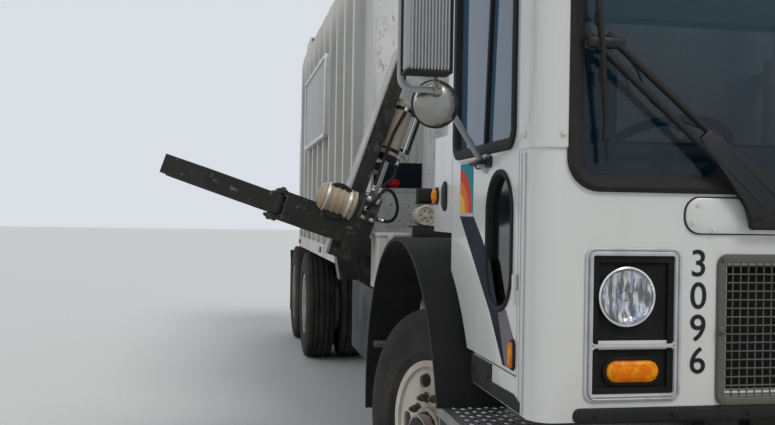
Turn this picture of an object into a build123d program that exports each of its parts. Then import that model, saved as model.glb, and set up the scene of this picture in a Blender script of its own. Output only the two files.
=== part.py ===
"""Side-loading refuse truck: cab over the engine, tandem rear axle, rail arm on the kerb side.

Millimetres. While the truck is drawn, x = 0 is the front panel of the cab and x runs forward,
y = 0 is the centre plane and y runs to the left, z = 0 is the ground. The kerb side is -y.
Each finished piece is then moved so that the frame's origin lies under the middle of the truck.
"""
import os
from math import cos, radians, sin, sqrt, tan

from build123d import *

os.makedirs("parts", exist_ok=True)

# From the truck's own place to the frame's origin
ORIGIN = (4315, 372, 0)

# Sides of the truck: name and sign of y
SIDES = (("right", -1), ("left", 1))

# Axles and wheels
FRONT_AXLE_X = -1460
REAR_AXLES = (("fore", -6650), ("aft", -8020))
TYRE_R = 531
TYRE_W = 280
TREAD_W = 236
SHOULDER_DROP = 34
RIM_R = 285
RIM_WALL = 13
RIM_W = 232
FLANGE_R = 300
DUAL_SPACING = 330
DUAL_Y = 930
STEER_ANGLE = 20.7
KINGPIN_Y = 860
KINGPIN_R = 24
WHEEL_OFFSET = 160
SPINDLE_R = 42
REAR_SPINDLE_R = 55
SHAFT_PLAY = 0.08
STUD_CIRCLE_R = 142.9
HAND_HOLES = 5

# Chassis
RAIL_Y = 432
RAIL_BOTTOM = 720
RAIL_TOP = 990
RAIL_WEB = 10
RAIL_FLANGE = 80
RAIL_FRONT_X = -60
RAIL_REAR_X = -8560
CROSSMEMBER_XS = (-300, -2250, -3300, -4500, -5700, -7335, -8500)
CROSSMEMBER_Z = (850, 960)
CROSSMEMBER_L = 90

# Cab
CAB_HALF = 1150
CAB_WALL = 40
CAB_BOTTOM = 880
CAB_REAR_X = -1040
ROOF_BOTTOM = 2460
ROOF_TOP = 2640
CORNER_R = 70
PLATE = 20
SEAT_FLOOR_Z = 1420
TUNNEL_HALF = 460
TILT_X = -85
TILT_Z = 800
TILT_R = 20
SHUT_GAP = 6
WINDSHIELD_HALF = CAB_HALF - 130
WINDSHIELD_Z = (1556, 2340)
PILLAR_X = -150
DOOR_REAR_X = -960
DOOR_BOTTOM = 990
DOOR_TOP = 2450
HINGE_X = PILLAR_X - SHUT_GAP / 2
HINGE_ZS = (1250, 2250)
HINGE_HALF = 45
HINGE_BARREL = 9
DOOR_WINDOW_X = (-205, -915)
DOOR_WINDOW_Z = (1700, 2390)
PORTHOLE_X = -342
PORTHOLE_Z = 1392
PORTHOLE_W = 262
PORTHOLE_H = 440
GLASS = 8
ARCH_R = 835
ARCH_GAP = 45
STEP_TOP = 780
GRILLE_HALF = 553
GRILLE_Z = (962, 1336)
GRILLE_FRAME = 33
LAMP_Y = 874
LAMP_Z = 1244
LAMP_R = 89
BEZEL_Y = (700, 999)
BEZEL_Z = (938, 1385)

# Body: skin, ribs and roof
BODY_HALF = 1150
SKIN = 12
RIB = 70
RIB_W = 76
BODY_FRONT_X = -2960
BODY_REAR_X = -7450
BODY_BOTTOM = 1110
FLOOR_Z = 1090
WALL_TOP = 3000
SHOULDER_R = 412
HOPPER_FRONT_X = -2082
HOPPER_FLOOR_Z = 1270
HOPPER_TOP = 2900
BAY_Y = 830
SILL_Y = 950
SILL_Z = 2300

# Tailgate
TAIL_X = -8800
TAIL_HALF = BODY_HALF - 30
TAIL_HINGE_X = -7484
TAIL_HINGE_Z = 3446
HINGE_R = 22

# Arm
ARM_X = -2480
ARM_TILT = 18.9
RAIL_HALF = 80
ARM_RAIL_DEPTH = 95
ARM_RAIL_FOOT_Z = 1250
ARM_RAIL_TOP_Z = 2360
HEAD_R = 163
HEAD_TURN = 70
CARRIAGE_Z = 1400
RAIL_OUTER_Y = -1433
PIVOT_OUT = 170
SLEEVE_HALF = 120
SLEEVE_Z = (1090, 1250)
SLEEVE_WALL = 12
SLIDE_PLAY = 6
PAD_GAP = 0.3
GRIP_X = 290
FINGER_HINGE_OUT = 170
FINGER_REACH = 790
FINGER_T = 46
DRUM_R = 92
DRUM_L = 130
DRUM_PLACE = (107, 118)
CYLINDER_R = 42
CYLINDER_OUT = 60
HOSE_R = 9


def hand_over(piece, name):
    """Label a finished piece, bring it to the frame's origin and write it."""
    solid = piece.part.moved(Location(ORIGIN))
    solid.label = name
    export_step(solid, f"parts/{name}.step")


def block(x, y, z, mode=Mode.ADD):
    """A box between two places along each axis, each given as a pair."""
    size = [abs(pair[1] - pair[0]) for pair in (x, y, z)]
    middle = [(pair[1] + pair[0]) / 2 for pair in (x, y, z)]
    with Locations(tuple(middle)):
        return Box(*size, mode=mode)


def both(side, low, high):
    """A span of y on one side of the truck."""
    return (side * low, side * high)


def rod(start, end, radius, mode=Mode.ADD):
    """A round bar from one point to another."""
    run = Vector(*end) - Vector(*start)
    with BuildSketch(Plane(origin=start, z_dir=run)) as disc:
        Circle(radius)
    extrude(disc.sketch, amount=run.length, mode=mode)


def side_plane(y):
    """A plane that looks along y, with its own x forward and its own y up."""
    return Plane(origin=(0, y, 0), x_dir=(1, 0, 0), z_dir=(0, -1, 0))


def cross_plane(x):
    """A plane across the truck, with its own x to the left and its own y up."""
    return Plane(origin=(x, 0, 0), x_dir=(0, 1, 0), z_dir=(1, 0, 0))


def front_hub(side):
    """Kingpin foot and hub centre of a steered wheel, with its outward direction."""
    outward = Vector(0, side, 0).rotate(Axis.Z, STEER_ANGLE)
    kingpin = Vector(FRONT_AXLE_X, side * KINGPIN_Y, TYRE_R)
    return kingpin, kingpin + outward * WHEEL_OFFSET, outward


def wheel_plane(centre, outward):
    """A plane whose own x is up and whose own y points out of the wheel."""
    return Plane(origin=centre, x_dir=(0, 0, 1), z_dir=Vector(0, 0, 1).cross(outward))


def ring(plane, inner, outer, start, end, mode=Mode.ADD):
    """A ring about a wheel's axle, between two distances along it."""
    with BuildSketch(plane) as profile:
        with Locations(((inner + outer) / 2, (start + end) / 2)):
            Rectangle(outer - inner, end - start)
    revolve(profile.sketch, axis=Axis(plane.origin, plane.y_dir), mode=mode)


def tyre(plane, middle):
    """One tyre about a wheel's axle, its middle at a distance along it."""
    bead = RIM_W / 2
    points = (
        (RIM_R, middle - bead),
        (FLANGE_R + 1, middle - bead),
        (TYRE_R - 190, middle - TYRE_W / 2),
        (TYRE_R - SHOULDER_DROP, middle - TYRE_W / 2 + 8),
        (TYRE_R, middle - TREAD_W / 2),
        (TYRE_R, middle + TREAD_W / 2),
        (TYRE_R - SHOULDER_DROP, middle + TYRE_W / 2 - 8),
        (TYRE_R - 190, middle + TYRE_W / 2),
        (FLANGE_R + 1, middle + bead),
        (RIM_R, middle + bead),
    )
    with BuildSketch(plane) as profile:
        with BuildLine():
            Polyline(*points, close=True)
        make_face()
    revolve(profile.sketch, axis=Axis(plane.origin, plane.y_dir))


def hinge_leaf(side, low, high, pin_x, leaf_x):
    """One half of a door hinge: a barrel on the hinge line and its leaf on the cab's side."""
    with Locations((pin_x, side * (CAB_HALF + HINGE_BARREL), (low + high) / 2)):
        Cylinder(HINGE_BARREL, high - low)
    block(sorted((pin_x + (leaf_x - pin_x) / 6, leaf_x)), both(side, CAB_HALF, CAB_HALF + 6), (low, high))


# Frame rails with their cross members, rear guard and hangers
with BuildPart() as frame_rails:
    for name, side in SIDES:
        outer = RAIL_Y - RAIL_WEB
        block((RAIL_REAR_X, RAIL_FRONT_X), both(side, outer, RAIL_Y), (RAIL_BOTTOM, RAIL_TOP))
        for z in (RAIL_BOTTOM, RAIL_TOP - RAIL_WEB):
            block((RAIL_REAR_X, RAIL_FRONT_X), both(side, RAIL_Y - RAIL_FLANGE, outer), (z, z + RAIL_WEB))
    for x in CROSSMEMBER_XS:
        inner = RAIL_Y - RAIL_WEB
        block((x - CROSSMEMBER_L / 2, x + CROSSMEMBER_L / 2), (-inner, inner), CROSSMEMBER_Z)
    # bar that carries the mud flaps
    block((RAIL_REAR_X - 60, RAIL_REAR_X), (-1230, 1230), (RAIL_TOP - 90, RAIL_TOP))
    # underrun guard on its two legs
    for name, side in SIDES:
        block((RAIL_REAR_X - 60, RAIL_REAR_X), both(side, RAIL_Y - 100, RAIL_Y), (520, RAIL_TOP))
    block((RAIL_REAR_X - 80, RAIL_REAR_X - 10), (-600, 600), (480, 580))
    # trunnion brackets of the tandem
    tandem_x = (REAR_AXLES[0][1] + REAR_AXLES[1][1]) / 2
    for name, side in SIDES:
        block((tandem_x - 130, tandem_x + 130), both(side, RAIL_Y, 566), (462, 860))
hand_over(frame_rails, "frame_rails")

# Tilt pins of the cab in front and its rests behind
with BuildPart() as cab_mounts:
    for name, side in SIDES:
        rod((TILT_X, side * RAIL_Y, TILT_Z), (TILT_X, side * 550, TILT_Z), TILT_R)
        block((-1000, -930), both(side, RAIL_Y, 500), (900, SEAT_FLOOR_Z - PLATE - PAD_GAP))
hand_over(cab_mounts, "cab_mounts")

# Axles: front beam with its leaf springs, tandem housings on walking beams
SPRING_HALF = 640
SPRING_Y = (RAIL_Y - RAIL_FLANGE, RAIL_Y)
with BuildPart() as axles:
    block((FRONT_AXLE_X - 55, FRONT_AXLE_X + 55), (-620, 620), (390, 470))
    for name, side in SIDES:
        with BuildSketch(cross_plane(FRONT_AXLE_X - 55)) as horn:
            with BuildLine():
                Polyline(
                    (side * 560, 390), (side * 640, 390), (side * (KINGPIN_Y - 74), TYRE_R - 50),
                    (side * (KINGPIN_Y + 55), TYRE_R - 50),
                    (side * (KINGPIN_Y + 55), TYRE_R + 50), (side * (KINGPIN_Y - 55), TYRE_R + 50),
                    (side * 620, 470), (side * 560, 470), close=True,
                )
            make_face()
        extrude(amount=110)
        with Locations((FRONT_AXLE_X, side * KINGPIN_Y, TYRE_R)):
            Cylinder(KINGPIN_R + SHAFT_PLAY, 400, mode=Mode.SUBTRACT)
        # leaf spring, thick in the middle
        with BuildSketch(side_plane(side * SPRING_Y[0])) as leaf:
            with BuildLine():
                low = ThreePointArc(
                    (FRONT_AXLE_X - SPRING_HALF, 630), (FRONT_AXLE_X, 470), (FRONT_AXLE_X + SPRING_HALF, 630)
                )
                high = ThreePointArc(
                    (FRONT_AXLE_X - SPRING_HALF, 655), (FRONT_AXLE_X, 540), (FRONT_AXLE_X + SPRING_HALF, 655)
                )
                Line(low @ 0, high @ 0)
                Line(low @ 1, high @ 1)
            make_face()
        extrude(amount=-side * RAIL_FLANGE)
        for end in (-1, 1):
            x = FRONT_AXLE_X + end * (SPRING_HALF - 30)
            block((x - 45, x + 45), both(side, *SPRING_Y), (615, RAIL_BOTTOM))
    for name, x in REAR_AXLES:
        rod((x, -DUAL_Y + 170, TYRE_R), (x, DUAL_Y - 170, TYRE_R), 72)
        for label, side in SIDES:
            rod((x, side * (DUAL_Y - 190), TYRE_R), (x, side * (DUAL_Y + 90), TYRE_R), REAR_SPINDLE_R)
        with Locations((x, 0, TYRE_R)):
            Sphere(185)
        rod((x, 0, TYRE_R + 25), (x + 290, 0, TYRE_R + 35), 75)
    for name, side in SIDES:
        fore, aft = REAR_AXLES[0][1], REAR_AXLES[1][1]
        block((aft - 90, fore + 90), both(side, 480, 566), (350, 462))
hand_over(axles, "axles")

# Steering knuckles: ears over and under the beam's eye, pin, spindle and steering arm
TIE_ARM = 210
for name, side in SIDES:
    kingpin, hub, outward = front_hub(side)
    back = Vector(-1, 0, 0).rotate(Axis.Z, STEER_ANGLE)
    with BuildPart() as knuckle:
        for low, high in ((TYRE_R - 108, TYRE_R - 56), (TYRE_R + 52, TYRE_R + 98)):
            with Locations((kingpin.X, kingpin.Y, (low + high) / 2)):
                Cylinder(62, high - low)
        with Locations((kingpin.X, kingpin.Y, TYRE_R)):
            Cylinder(KINGPIN_R, 190)
        face = kingpin + outward * 84
        with BuildSketch(Plane(origin=face, x_dir=(0, 0, 1), z_dir=outward)):
            Rectangle(206, 110)
        extrude(amount=26)
        for z in (TYRE_R - 82, TYRE_R + 75):
            start = Vector(kingpin.X, kingpin.Y, z)
            rod(start, start + outward * 90, 22)
        rod(hub - outward * (WHEEL_OFFSET - 100), hub + outward * 105, SPINDLE_R)
        # steering arm, back and a little inward
        arm_root = Vector(kingpin.X, kingpin.Y, TYRE_R - 82)
        arm_end = arm_root + back * TIE_ARM - outward * 40
        rod(arm_root, arm_end, 20)
        with Locations(arm_end):
            Cylinder(30, 44)
    hand_over(knuckle, f"knuckle_{name}")

# Tie rod between the two steering arms, its ends just under the arms' eyes
with BuildPart() as tie_rod:
    ends = []
    for name, side in SIDES:
        kingpin, hub, outward = front_hub(side)
        back = Vector(-1, 0, 0).rotate(Axis.Z, STEER_ANGLE)
        ends.append(Vector(kingpin.X, kingpin.Y, TYRE_R - 104 - 22.5) + back * TIE_ARM - outward * 40)
        with Locations(ends[-1]):
            Cylinder(28, 44)
    rod(ends[0], ends[1], 19)
hand_over(tie_rod, "tie_rod")

# Front wheels: tyre, and disc wheel with its hub
for name, side in SIDES:
    kingpin, hub, outward = front_hub(side)
    plane = wheel_plane(hub, outward)
    with BuildPart() as front_tyre:
        tyre(plane, 0)
    hand_over(front_tyre, f"front_tyre_{name}")
    with BuildPart() as front_wheel:
        ring(plane, RIM_R - RIM_WALL, RIM_R, -RIM_W / 2, RIM_W / 2)
        for start, end in ((-RIM_W / 2 - 9, -RIM_W / 2), (RIM_W / 2, RIM_W / 2 + 9)):
            ring(plane, RIM_R - RIM_WALL, FLANGE_R, start, end)
        ring(plane, SPINDLE_R + SHAFT_PLAY, RIM_R - RIM_WALL + 1, 96, 110)
        ring(plane, SPINDLE_R + SHAFT_PLAY, 100, -40, 150)
        ring(plane, 0, 72, 108, 196)
        ring(plane, SPINDLE_R + SHAFT_PLAY, 200, -40, 60)
        with BuildSketch(Plane(origin=hub + outward * 130, x_dir=(0, 0, 1), z_dir=outward)):
            with PolarLocations(215, HAND_HOLES, start_angle=20):
                SlotOverall(92, 58, rotation=90)
        extrude(amount=-50, mode=Mode.SUBTRACT)
    hand_over(front_wheel, f"front_wheel_{name}")

# Rear twin wheels: two tyres on one disc wheel and hub for each axle end
for axle, x in REAR_AXLES:
    for name, side in SIDES:
        outward = Vector(0, side, 0)
        hub = Vector(x, side * DUAL_Y, TYRE_R)
        plane = wheel_plane(hub, outward)
        with BuildPart() as twin_tyres:
            for middle in (-DUAL_SPACING / 2, DUAL_SPACING / 2):
                tyre(plane, middle)
        hand_over(twin_tyres, f"{axle}_tyres_{name}")
        half = DUAL_SPACING / 2 + RIM_W / 2
        with BuildPart() as twin_wheel:
            ring(plane, RIM_R - RIM_WALL, RIM_R, -half, half)
            ring(plane, RIM_R - RIM_WALL, FLANGE_R, half, half + 9)
            ring(plane, RIM_R - RIM_WALL, FLANGE_R, -half - 9, -half)
            ring(plane, REAR_SPINDLE_R + SHAFT_PLAY, RIM_R - RIM_WALL + 1, -8, 8)
            ring(plane, REAR_SPINDLE_R + SHAFT_PLAY, 112, -60, 140)
            ring(plane, 0, 84, 92, 235)
            ring(plane, REAR_SPINDLE_R + SHAFT_PLAY, 205, -150, -8)
            with BuildSketch(Plane(origin=hub + outward * 30, x_dir=(0, 0, 1), z_dir=outward)):
                with PolarLocations(222, HAND_HOLES):
                    SlotOverall(90, 50, rotation=90)
            extrude(amount=-36, mode=Mode.SUBTRACT)
        hand_over(twin_wheel, f"{axle}_wheel_{name}")

# Engine and gearbox as plain blocks, with the radiator on the first cross member
ENGINE_HALF = 330
with BuildPart() as engine_block:
    block((-2000, -420), (-ENGINE_HALF, ENGINE_HALF), (620, 1290))
    block((-2900, -2000), (-220, 220), (640, 830))
    for x in (-600, -1850):
        for name, side in SIDES:
            block((x - 60, x + 60), both(side, ENGINE_HALF, RAIL_Y - RAIL_WEB), (780, 860))
    rod((-2900, 0, 745), (REAR_AXLES[0][1] + 291, 0, TYRE_R + 35), 55)
hand_over(engine_block, "engine_block")

with BuildPart() as radiator:
    block((-345, -255), (-345, 345), (CROSSMEMBER_Z[1], 1360))
hand_over(radiator, "radiator")

# Fuel tank on the left, hydraulic tank on the right, each on two brackets
with BuildPart() as tanks:
    rod((-3900, 800, 700), (-2700, 800, 700), 290)
    for x in (-2900, -3700):
        block((x - 40, x + 40), (RAIL_Y, 620), (760, 900))
        block((x - 40, x + 40), (-620, -RAIL_Y), (760, 900))
    block((-3900, -2700), (-1120, -540), (520, 1000))
hand_over(tanks, "tanks")

# White box beside the arm, on a bracket from the rail
with BuildPart() as side_box:
    block((-2310, -2110), (-1250, -920), (1080, 1365))
    fillet(side_box.edges().filter_by(Axis.Z), 12)
    block((-2260, -2160), (-920, -RAIL_Y), (900, 980))
    block((-2260, -2160), (-1000, -920), (900, 1080))
hand_over(side_box, "side_box")

# Exhaust behind the cab on the left: pipe, silencer and stack
EXHAUST_X, EXHAUST_Y = -1790, 850
with BuildPart() as exhaust:
    rod((EXHAUST_X, ENGINE_HALF, 1160), (EXHAUST_X, EXHAUST_Y, 1160), 45)
    rod((EXHAUST_X, EXHAUST_Y, 1115), (EXHAUST_X, EXHAUST_Y, 1420), 50)
    rod((EXHAUST_X, EXHAUST_Y, 1420), (EXHAUST_X, EXHAUST_Y, 2300), 115)
    rod((EXHAUST_X, EXHAUST_Y, 2300), (EXHAUST_X, EXHAUST_Y, 2950), 62)
    for z in (1500, 2200):
        block((HOPPER_FRONT_X + SKIN, EXHAUST_X), (EXHAUST_Y - 40, EXHAUST_Y + 40), (z, z + 60))
hand_over(exhaust, "exhaust")

# Front bumper on two horns from the rails
with BuildPart() as bumper:
    block((60, 170), (-1190, 1190), (450, 770))
    fillet(bumper.edges().filter_by(Axis.Z).sort_by(Axis.X)[-2:], 80)
    for name, side in SIDES:
        block((RAIL_FRONT_X, 60), both(side, RAIL_Y - RAIL_FLANGE, RAIL_Y), (RAIL_BOTTOM, 765))
        block((-40, 60), both(side, RAIL_Y - RAIL_FLANGE, RAIL_Y), (560, RAIL_BOTTOM))
hand_over(bumper, "bumper")

# Rubber: front arch bands, mud flaps
ARCH_T = 16
with BuildPart() as rubber_guards:
    for name, side in SIDES:
        with BuildSketch(side_plane(side * 1010)) as band:
            with Locations((FRONT_AXLE_X, TYRE_R)):
                Circle(ARCH_R)
                Circle(ARCH_R - ARCH_T, mode=Mode.SUBTRACT)
            with Locations((FRONT_AXLE_X + 1000, STEP_TOP + PAD_GAP - 1000)):
                Rectangle(2000, 2000, mode=Mode.SUBTRACT)
            with Locations((FRONT_AXLE_X - 1000, TYRE_R - 1100)):
                Rectangle(2000, 2000, mode=Mode.SUBTRACT)
        extrude(amount=-side * 260)
        block((RAIL_REAR_X - 72, RAIL_REAR_X - 60), both(side, 650, 1225), (260, RAIL_TOP - 20))
hand_over(rubber_guards, "rubber_guards")

# Cab steps with their hangers, and the carriers of the arch bands
ARCH_ROD_R = 20
ARCH_ROD_RISE = 250
with BuildPart() as cab_steps:
    for name, side in SIDES:
        block((-750, -390), both(side, 980, 1250), (STEP_TOP - 40, STEP_TOP))
        block((-750, -390), both(side, 1020, 1230), (400, 430))
        for x in (-750, -404):
            block((x, x + 14), both(side, 1000, 1240), (400, STEP_TOP))
        block((-700, -620), both(side, RAIL_Y, 980), (STEP_TOP - 35, STEP_TOP - 5))
        block((-480, -400), both(side, RAIL_Y, 980), (STEP_TOP - 35, STEP_TOP - 5))
        reach = ARCH_R - ARCH_T - ARCH_ROD_R - PAD_GAP
        rod_x = FRONT_AXLE_X - sqrt(reach**2 - ARCH_ROD_RISE**2)
        rod_z = TYRE_R + ARCH_ROD_RISE
        rod((rod_x, side * RAIL_Y, rod_z), (rod_x, side * 1240, rod_z), ARCH_ROD_R)
hand_over(cab_steps, "cab_steps")

# Cab front: panel, pillars and corners round the windscreen
with BuildPart() as cab_front:
    block((PILLAR_X, 0), (-CAB_HALF, CAB_HALF), (CAB_BOTTOM, ROOF_BOTTOM))
    fillet(cab_front.edges().filter_by(Axis.Z).sort_by(Axis.X)[-2:], CORNER_R)
    block((PILLAR_X, -CAB_WALL), (CAB_WALL - CAB_HALF, CAB_HALF - CAB_WALL), (CAB_BOTTOM, ROOF_BOTTOM), Mode.SUBTRACT)
    with BuildSketch(cross_plane(-CAB_WALL)) as holes:
        with Locations((0, sum(WINDSHIELD_Z) / 2)):
            RectangleRounded(2 * WINDSHIELD_HALF, WINDSHIELD_Z[1] - WINDSHIELD_Z[0], 60)
        with Locations((0, sum(GRILLE_Z) / 2)):
            Rectangle(2 * GRILLE_HALF, GRILLE_Z[1] - GRILLE_Z[0])
        for name, side in SIDES:
            for low, high in ((1115, 1361), (959, 1090)):
                with Locations((side * 843, (low + high) / 2)):
                    RectangleRounded(246, high - low, 12)
    extrude(amount=CAB_WALL, mode=Mode.SUBTRACT)
    for name, side in SIDES:
        for z in HINGE_ZS:
            hinge_leaf(side, z - HINGE_HALF, z, HINGE_X, HINGE_X + 24)
hand_over(cab_front, "cab_front")

# Cab frame: rear wall with its window, posts behind the doors, sills, rear side panels
with BuildPart() as cab_frame:
    block((CAB_REAR_X, CAB_REAR_X + CAB_WALL), (-CAB_HALF, CAB_HALF), (1400, ROOF_BOTTOM))
    with BuildSketch(Plane(origin=(CAB_REAR_X, 0, 0), x_dir=(0, 1, 0), z_dir=(1, 0, 0))):
        with Locations((0, 2030)):
            RectangleRounded(1500, 520, 50)
    extrude(amount=CAB_WALL, mode=Mode.SUBTRACT)
    for name, side in SIDES:
        block((CAB_REAR_X, DOOR_REAR_X - SHUT_GAP), both(side, CAB_HALF - CAB_WALL, CAB_HALF), (1400, ROOF_BOTTOM))
        block((-1260, CAB_REAR_X), both(side, CAB_HALF - CAB_WALL, CAB_HALF), (1400, 1790))
        block((-625, PILLAR_X), both(side, CAB_HALF - CAB_WALL, CAB_HALF), (CAB_BOTTOM, DOOR_BOTTOM - SHUT_GAP))
hand_over(cab_frame, "cab_frame")

# Roof shell
with BuildPart() as cab_roof:
    block((CAB_REAR_X, 0), (-CAB_HALF, CAB_HALF), (ROOF_BOTTOM, ROOF_TOP))
    fillet(cab_roof.edges().filter_by(Axis.Z).sort_by(Axis.X)[-2:], CORNER_R)
    fillet(cab_roof.faces().sort_by(Axis.Z)[-1].edges(), 60)
    block(
        (CAB_REAR_X + CAB_WALL, -CAB_WALL), (CAB_WALL - CAB_HALF, CAB_HALF - CAB_WALL),
        (ROOF_BOTTOM, ROOF_TOP - CAB_WALL), Mode.SUBTRACT,
    )
hand_over(cab_roof, "cab_roof")

# Cab floor: a footwell plate on each side with its tilt bush below
with BuildPart() as cab_floor:
    inner = CAB_HALF - CAB_WALL
    for name, side in SIDES:
        block((-620, -CAB_WALL), both(side, TUNNEL_HALF, inner), (CAB_BOTTOM, CAB_BOTTOM + PLATE))
        block((TILT_X - 45, TILT_X + 40), both(side, 480, 540), (TILT_Z - 45, CAB_BOTTOM))
    rod((TILT_X, -600, TILT_Z), (TILT_X, 600, TILT_Z), TILT_R + SHAFT_PLAY, Mode.SUBTRACT)
hand_over(cab_floor, "cab_floor")

# Tunnel over the engine, riser in front of the wheels and the floor under the seats
with BuildPart() as cab_tunnel:
    block((-620, -600), (-inner, inner), (CAB_BOTTOM + PLATE, SEAT_FLOOR_Z))
    block((CAB_REAR_X + CAB_WALL, -620), (-inner, inner), (SEAT_FLOOR_Z - PLATE, SEAT_FLOOR_Z))
    block((-620, -CAB_WALL), (-TUNNEL_HALF, TUNNEL_HALF), (CAB_BOTTOM, SEAT_FLOOR_Z))
    block((-640, -CAB_WALL), (PLATE - TUNNEL_HALF, TUNNEL_HALF - PLATE), (CAB_BOTTOM, SEAT_FLOOR_Z - PLATE), Mode.SUBTRACT)
hand_over(cab_tunnel, "cab_tunnel")

# Windscreen and rear window
with BuildPart() as cab_glass:
    with BuildSketch(cross_plane(-24)) as screen:
        with Locations((0, sum(WINDSHIELD_Z) / 2)):
            RectangleRounded(2 * WINDSHIELD_HALF, WINDSHIELD_Z[1] - WINDSHIELD_Z[0], 60)
    extrude(amount=GLASS)
    with BuildSketch(cross_plane(CAB_REAR_X + 16)) as rear_window:
        with Locations((0, 2030)):
            RectangleRounded(1500, 520, 50)
    extrude(amount=GLASS)
hand_over(cab_glass, "cab_glass")

# Grille: frame on the panel and square mesh in the opening
GRILLE_PITCH = 50.8
with BuildPart() as grille:
    middle = sum(GRILLE_Z) / 2
    height = GRILLE_Z[1] - GRILLE_Z[0]
    with BuildSketch(cross_plane(0)) as frame_outline:
        with Locations((0, middle)):
            RectangleRounded(2 * (GRILLE_HALF + GRILLE_FRAME), height + 2 * GRILLE_FRAME, 14)
            Rectangle(2 * GRILLE_HALF - 8, height - 8, mode=Mode.SUBTRACT)
    extrude(amount=10)
    for index in range(-10, 11):
        y = index * GRILLE_PITCH
        block((-4, 4), (y - 3, y + 3), (GRILLE_Z[0] + 0.5, GRILLE_Z[1] - 0.5))
    for index in range(-3, 4):
        z = middle + index * GRILLE_PITCH
        block((-4, 4), (-GRILLE_HALF + 0.5, GRILLE_HALF - 0.5), (z - 3, z + 3))
hand_over(grille, "grille")

# Headlamps: stepped frame, round lamp and oblong indicator on each side
with BuildPart() as headlamps:
    for name, side in SIDES:
        centre = side * sum(BEZEL_Y) / 2
        with BuildSketch(cross_plane(0)) as bezel:
            with Locations((centre, sum(BEZEL_Z) / 2)):
                RectangleRounded(BEZEL_Y[1] - BEZEL_Y[0], BEZEL_Z[1] - BEZEL_Z[0], 26)
            for low, high in ((1115, 1361), (959, 1090)):
                with Locations((side * 843, (low + high) / 2)):
                    RectangleRounded(238, high - low - 8, 10, mode=Mode.SUBTRACT)
        extrude(amount=12)
        for low, high in ((1115, 1361), (959, 1090)):
            with BuildSketch(cross_plane(-34)) as backing:
                with Locations((side * 843, (low + high) / 2)):
                    RectangleRounded(246, high - low, 12)
            extrude(amount=6)
            with BuildSketch(cross_plane(-28)) as cup:
                with Locations((side * 843, (low + high) / 2)):
                    RectangleRounded(246, high - low, 12)
                    RectangleRounded(238, high - low - 8, 10, mode=Mode.SUBTRACT)
            extrude(amount=28)
        rod((-28, side * LAMP_Y, LAMP_Z), (14, side * LAMP_Y, LAMP_Z), LAMP_R)
        with BuildSketch(cross_plane(-28)) as indicator:
            with Locations((side * 858, 1028)):
                SlotOverall(164, 62)
        extrude(amount=40)
hand_over(headlamps, "headlamps")

# Wipers: pivot box, twin arms and blade on each side
with BuildPart() as wipers:
    for name, pivot_y, tip_y in (("right", -490, -930), ("left", 560, 120)):
        with Locations((16, pivot_y, 1470)):
            Box(32, 120, 70)
        rod((34, pivot_y, 1480), (34, tip_y, 1990), 9)
        rod((34, pivot_y + 60, 1480), (34, tip_y + 60, 1990), 9)
        block((20, 34), (tip_y - 12, tip_y + 12), (1700, 2290))
        rod((20, pivot_y, 1480), (44, pivot_y, 1480), 20)
hand_over(wipers, "wipers")

# Dashboard with a steering wheel on each side
STEERING_R = 225
STEERING_Y = 560
with BuildPart() as cab_interior:
    block((-260, -CAB_WALL), (10 + CAB_WALL - CAB_HALF, CAB_HALF - CAB_WALL - 10), (1240, 1500))
    block((-260, -CAB_WALL), (-TUNNEL_HALF, TUNNEL_HALF), (1240, SEAT_FLOOR_Z), Mode.SUBTRACT)
    for name, side in SIDES:
        wheel_place = Plane(origin=(-410, side * STEERING_Y, 1680), x_dir=(0, 1, 0), z_dir=(-0.5, 0, 0.87))
        column = -wheel_place.z_dir
        with Locations(wheel_place):
            Torus(STEERING_R, 15)
            Cylinder(45, 30)
            Box(2 * STEERING_R, 40, 12)
        foot = wheel_place.origin + column * 240
        rod(wheel_place.origin, foot, 26)
        rod(foot, (-200, side * STEERING_Y, 1400), 26)
hand_over(cab_interior, "cab_interior")

# Seats: cushion and back on each side of the tunnel
with BuildPart() as seats:
    for name, side in SIDES:
        block((-990, -660), both(side, 480, 960), (SEAT_FLOOR_Z, 1560))
        block((-990, -880), both(side, 480, 960), (1560, 2150))
    fillet(seats.edges().filter_by(Axis.X), 30)
hand_over(seats, "seats")

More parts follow.
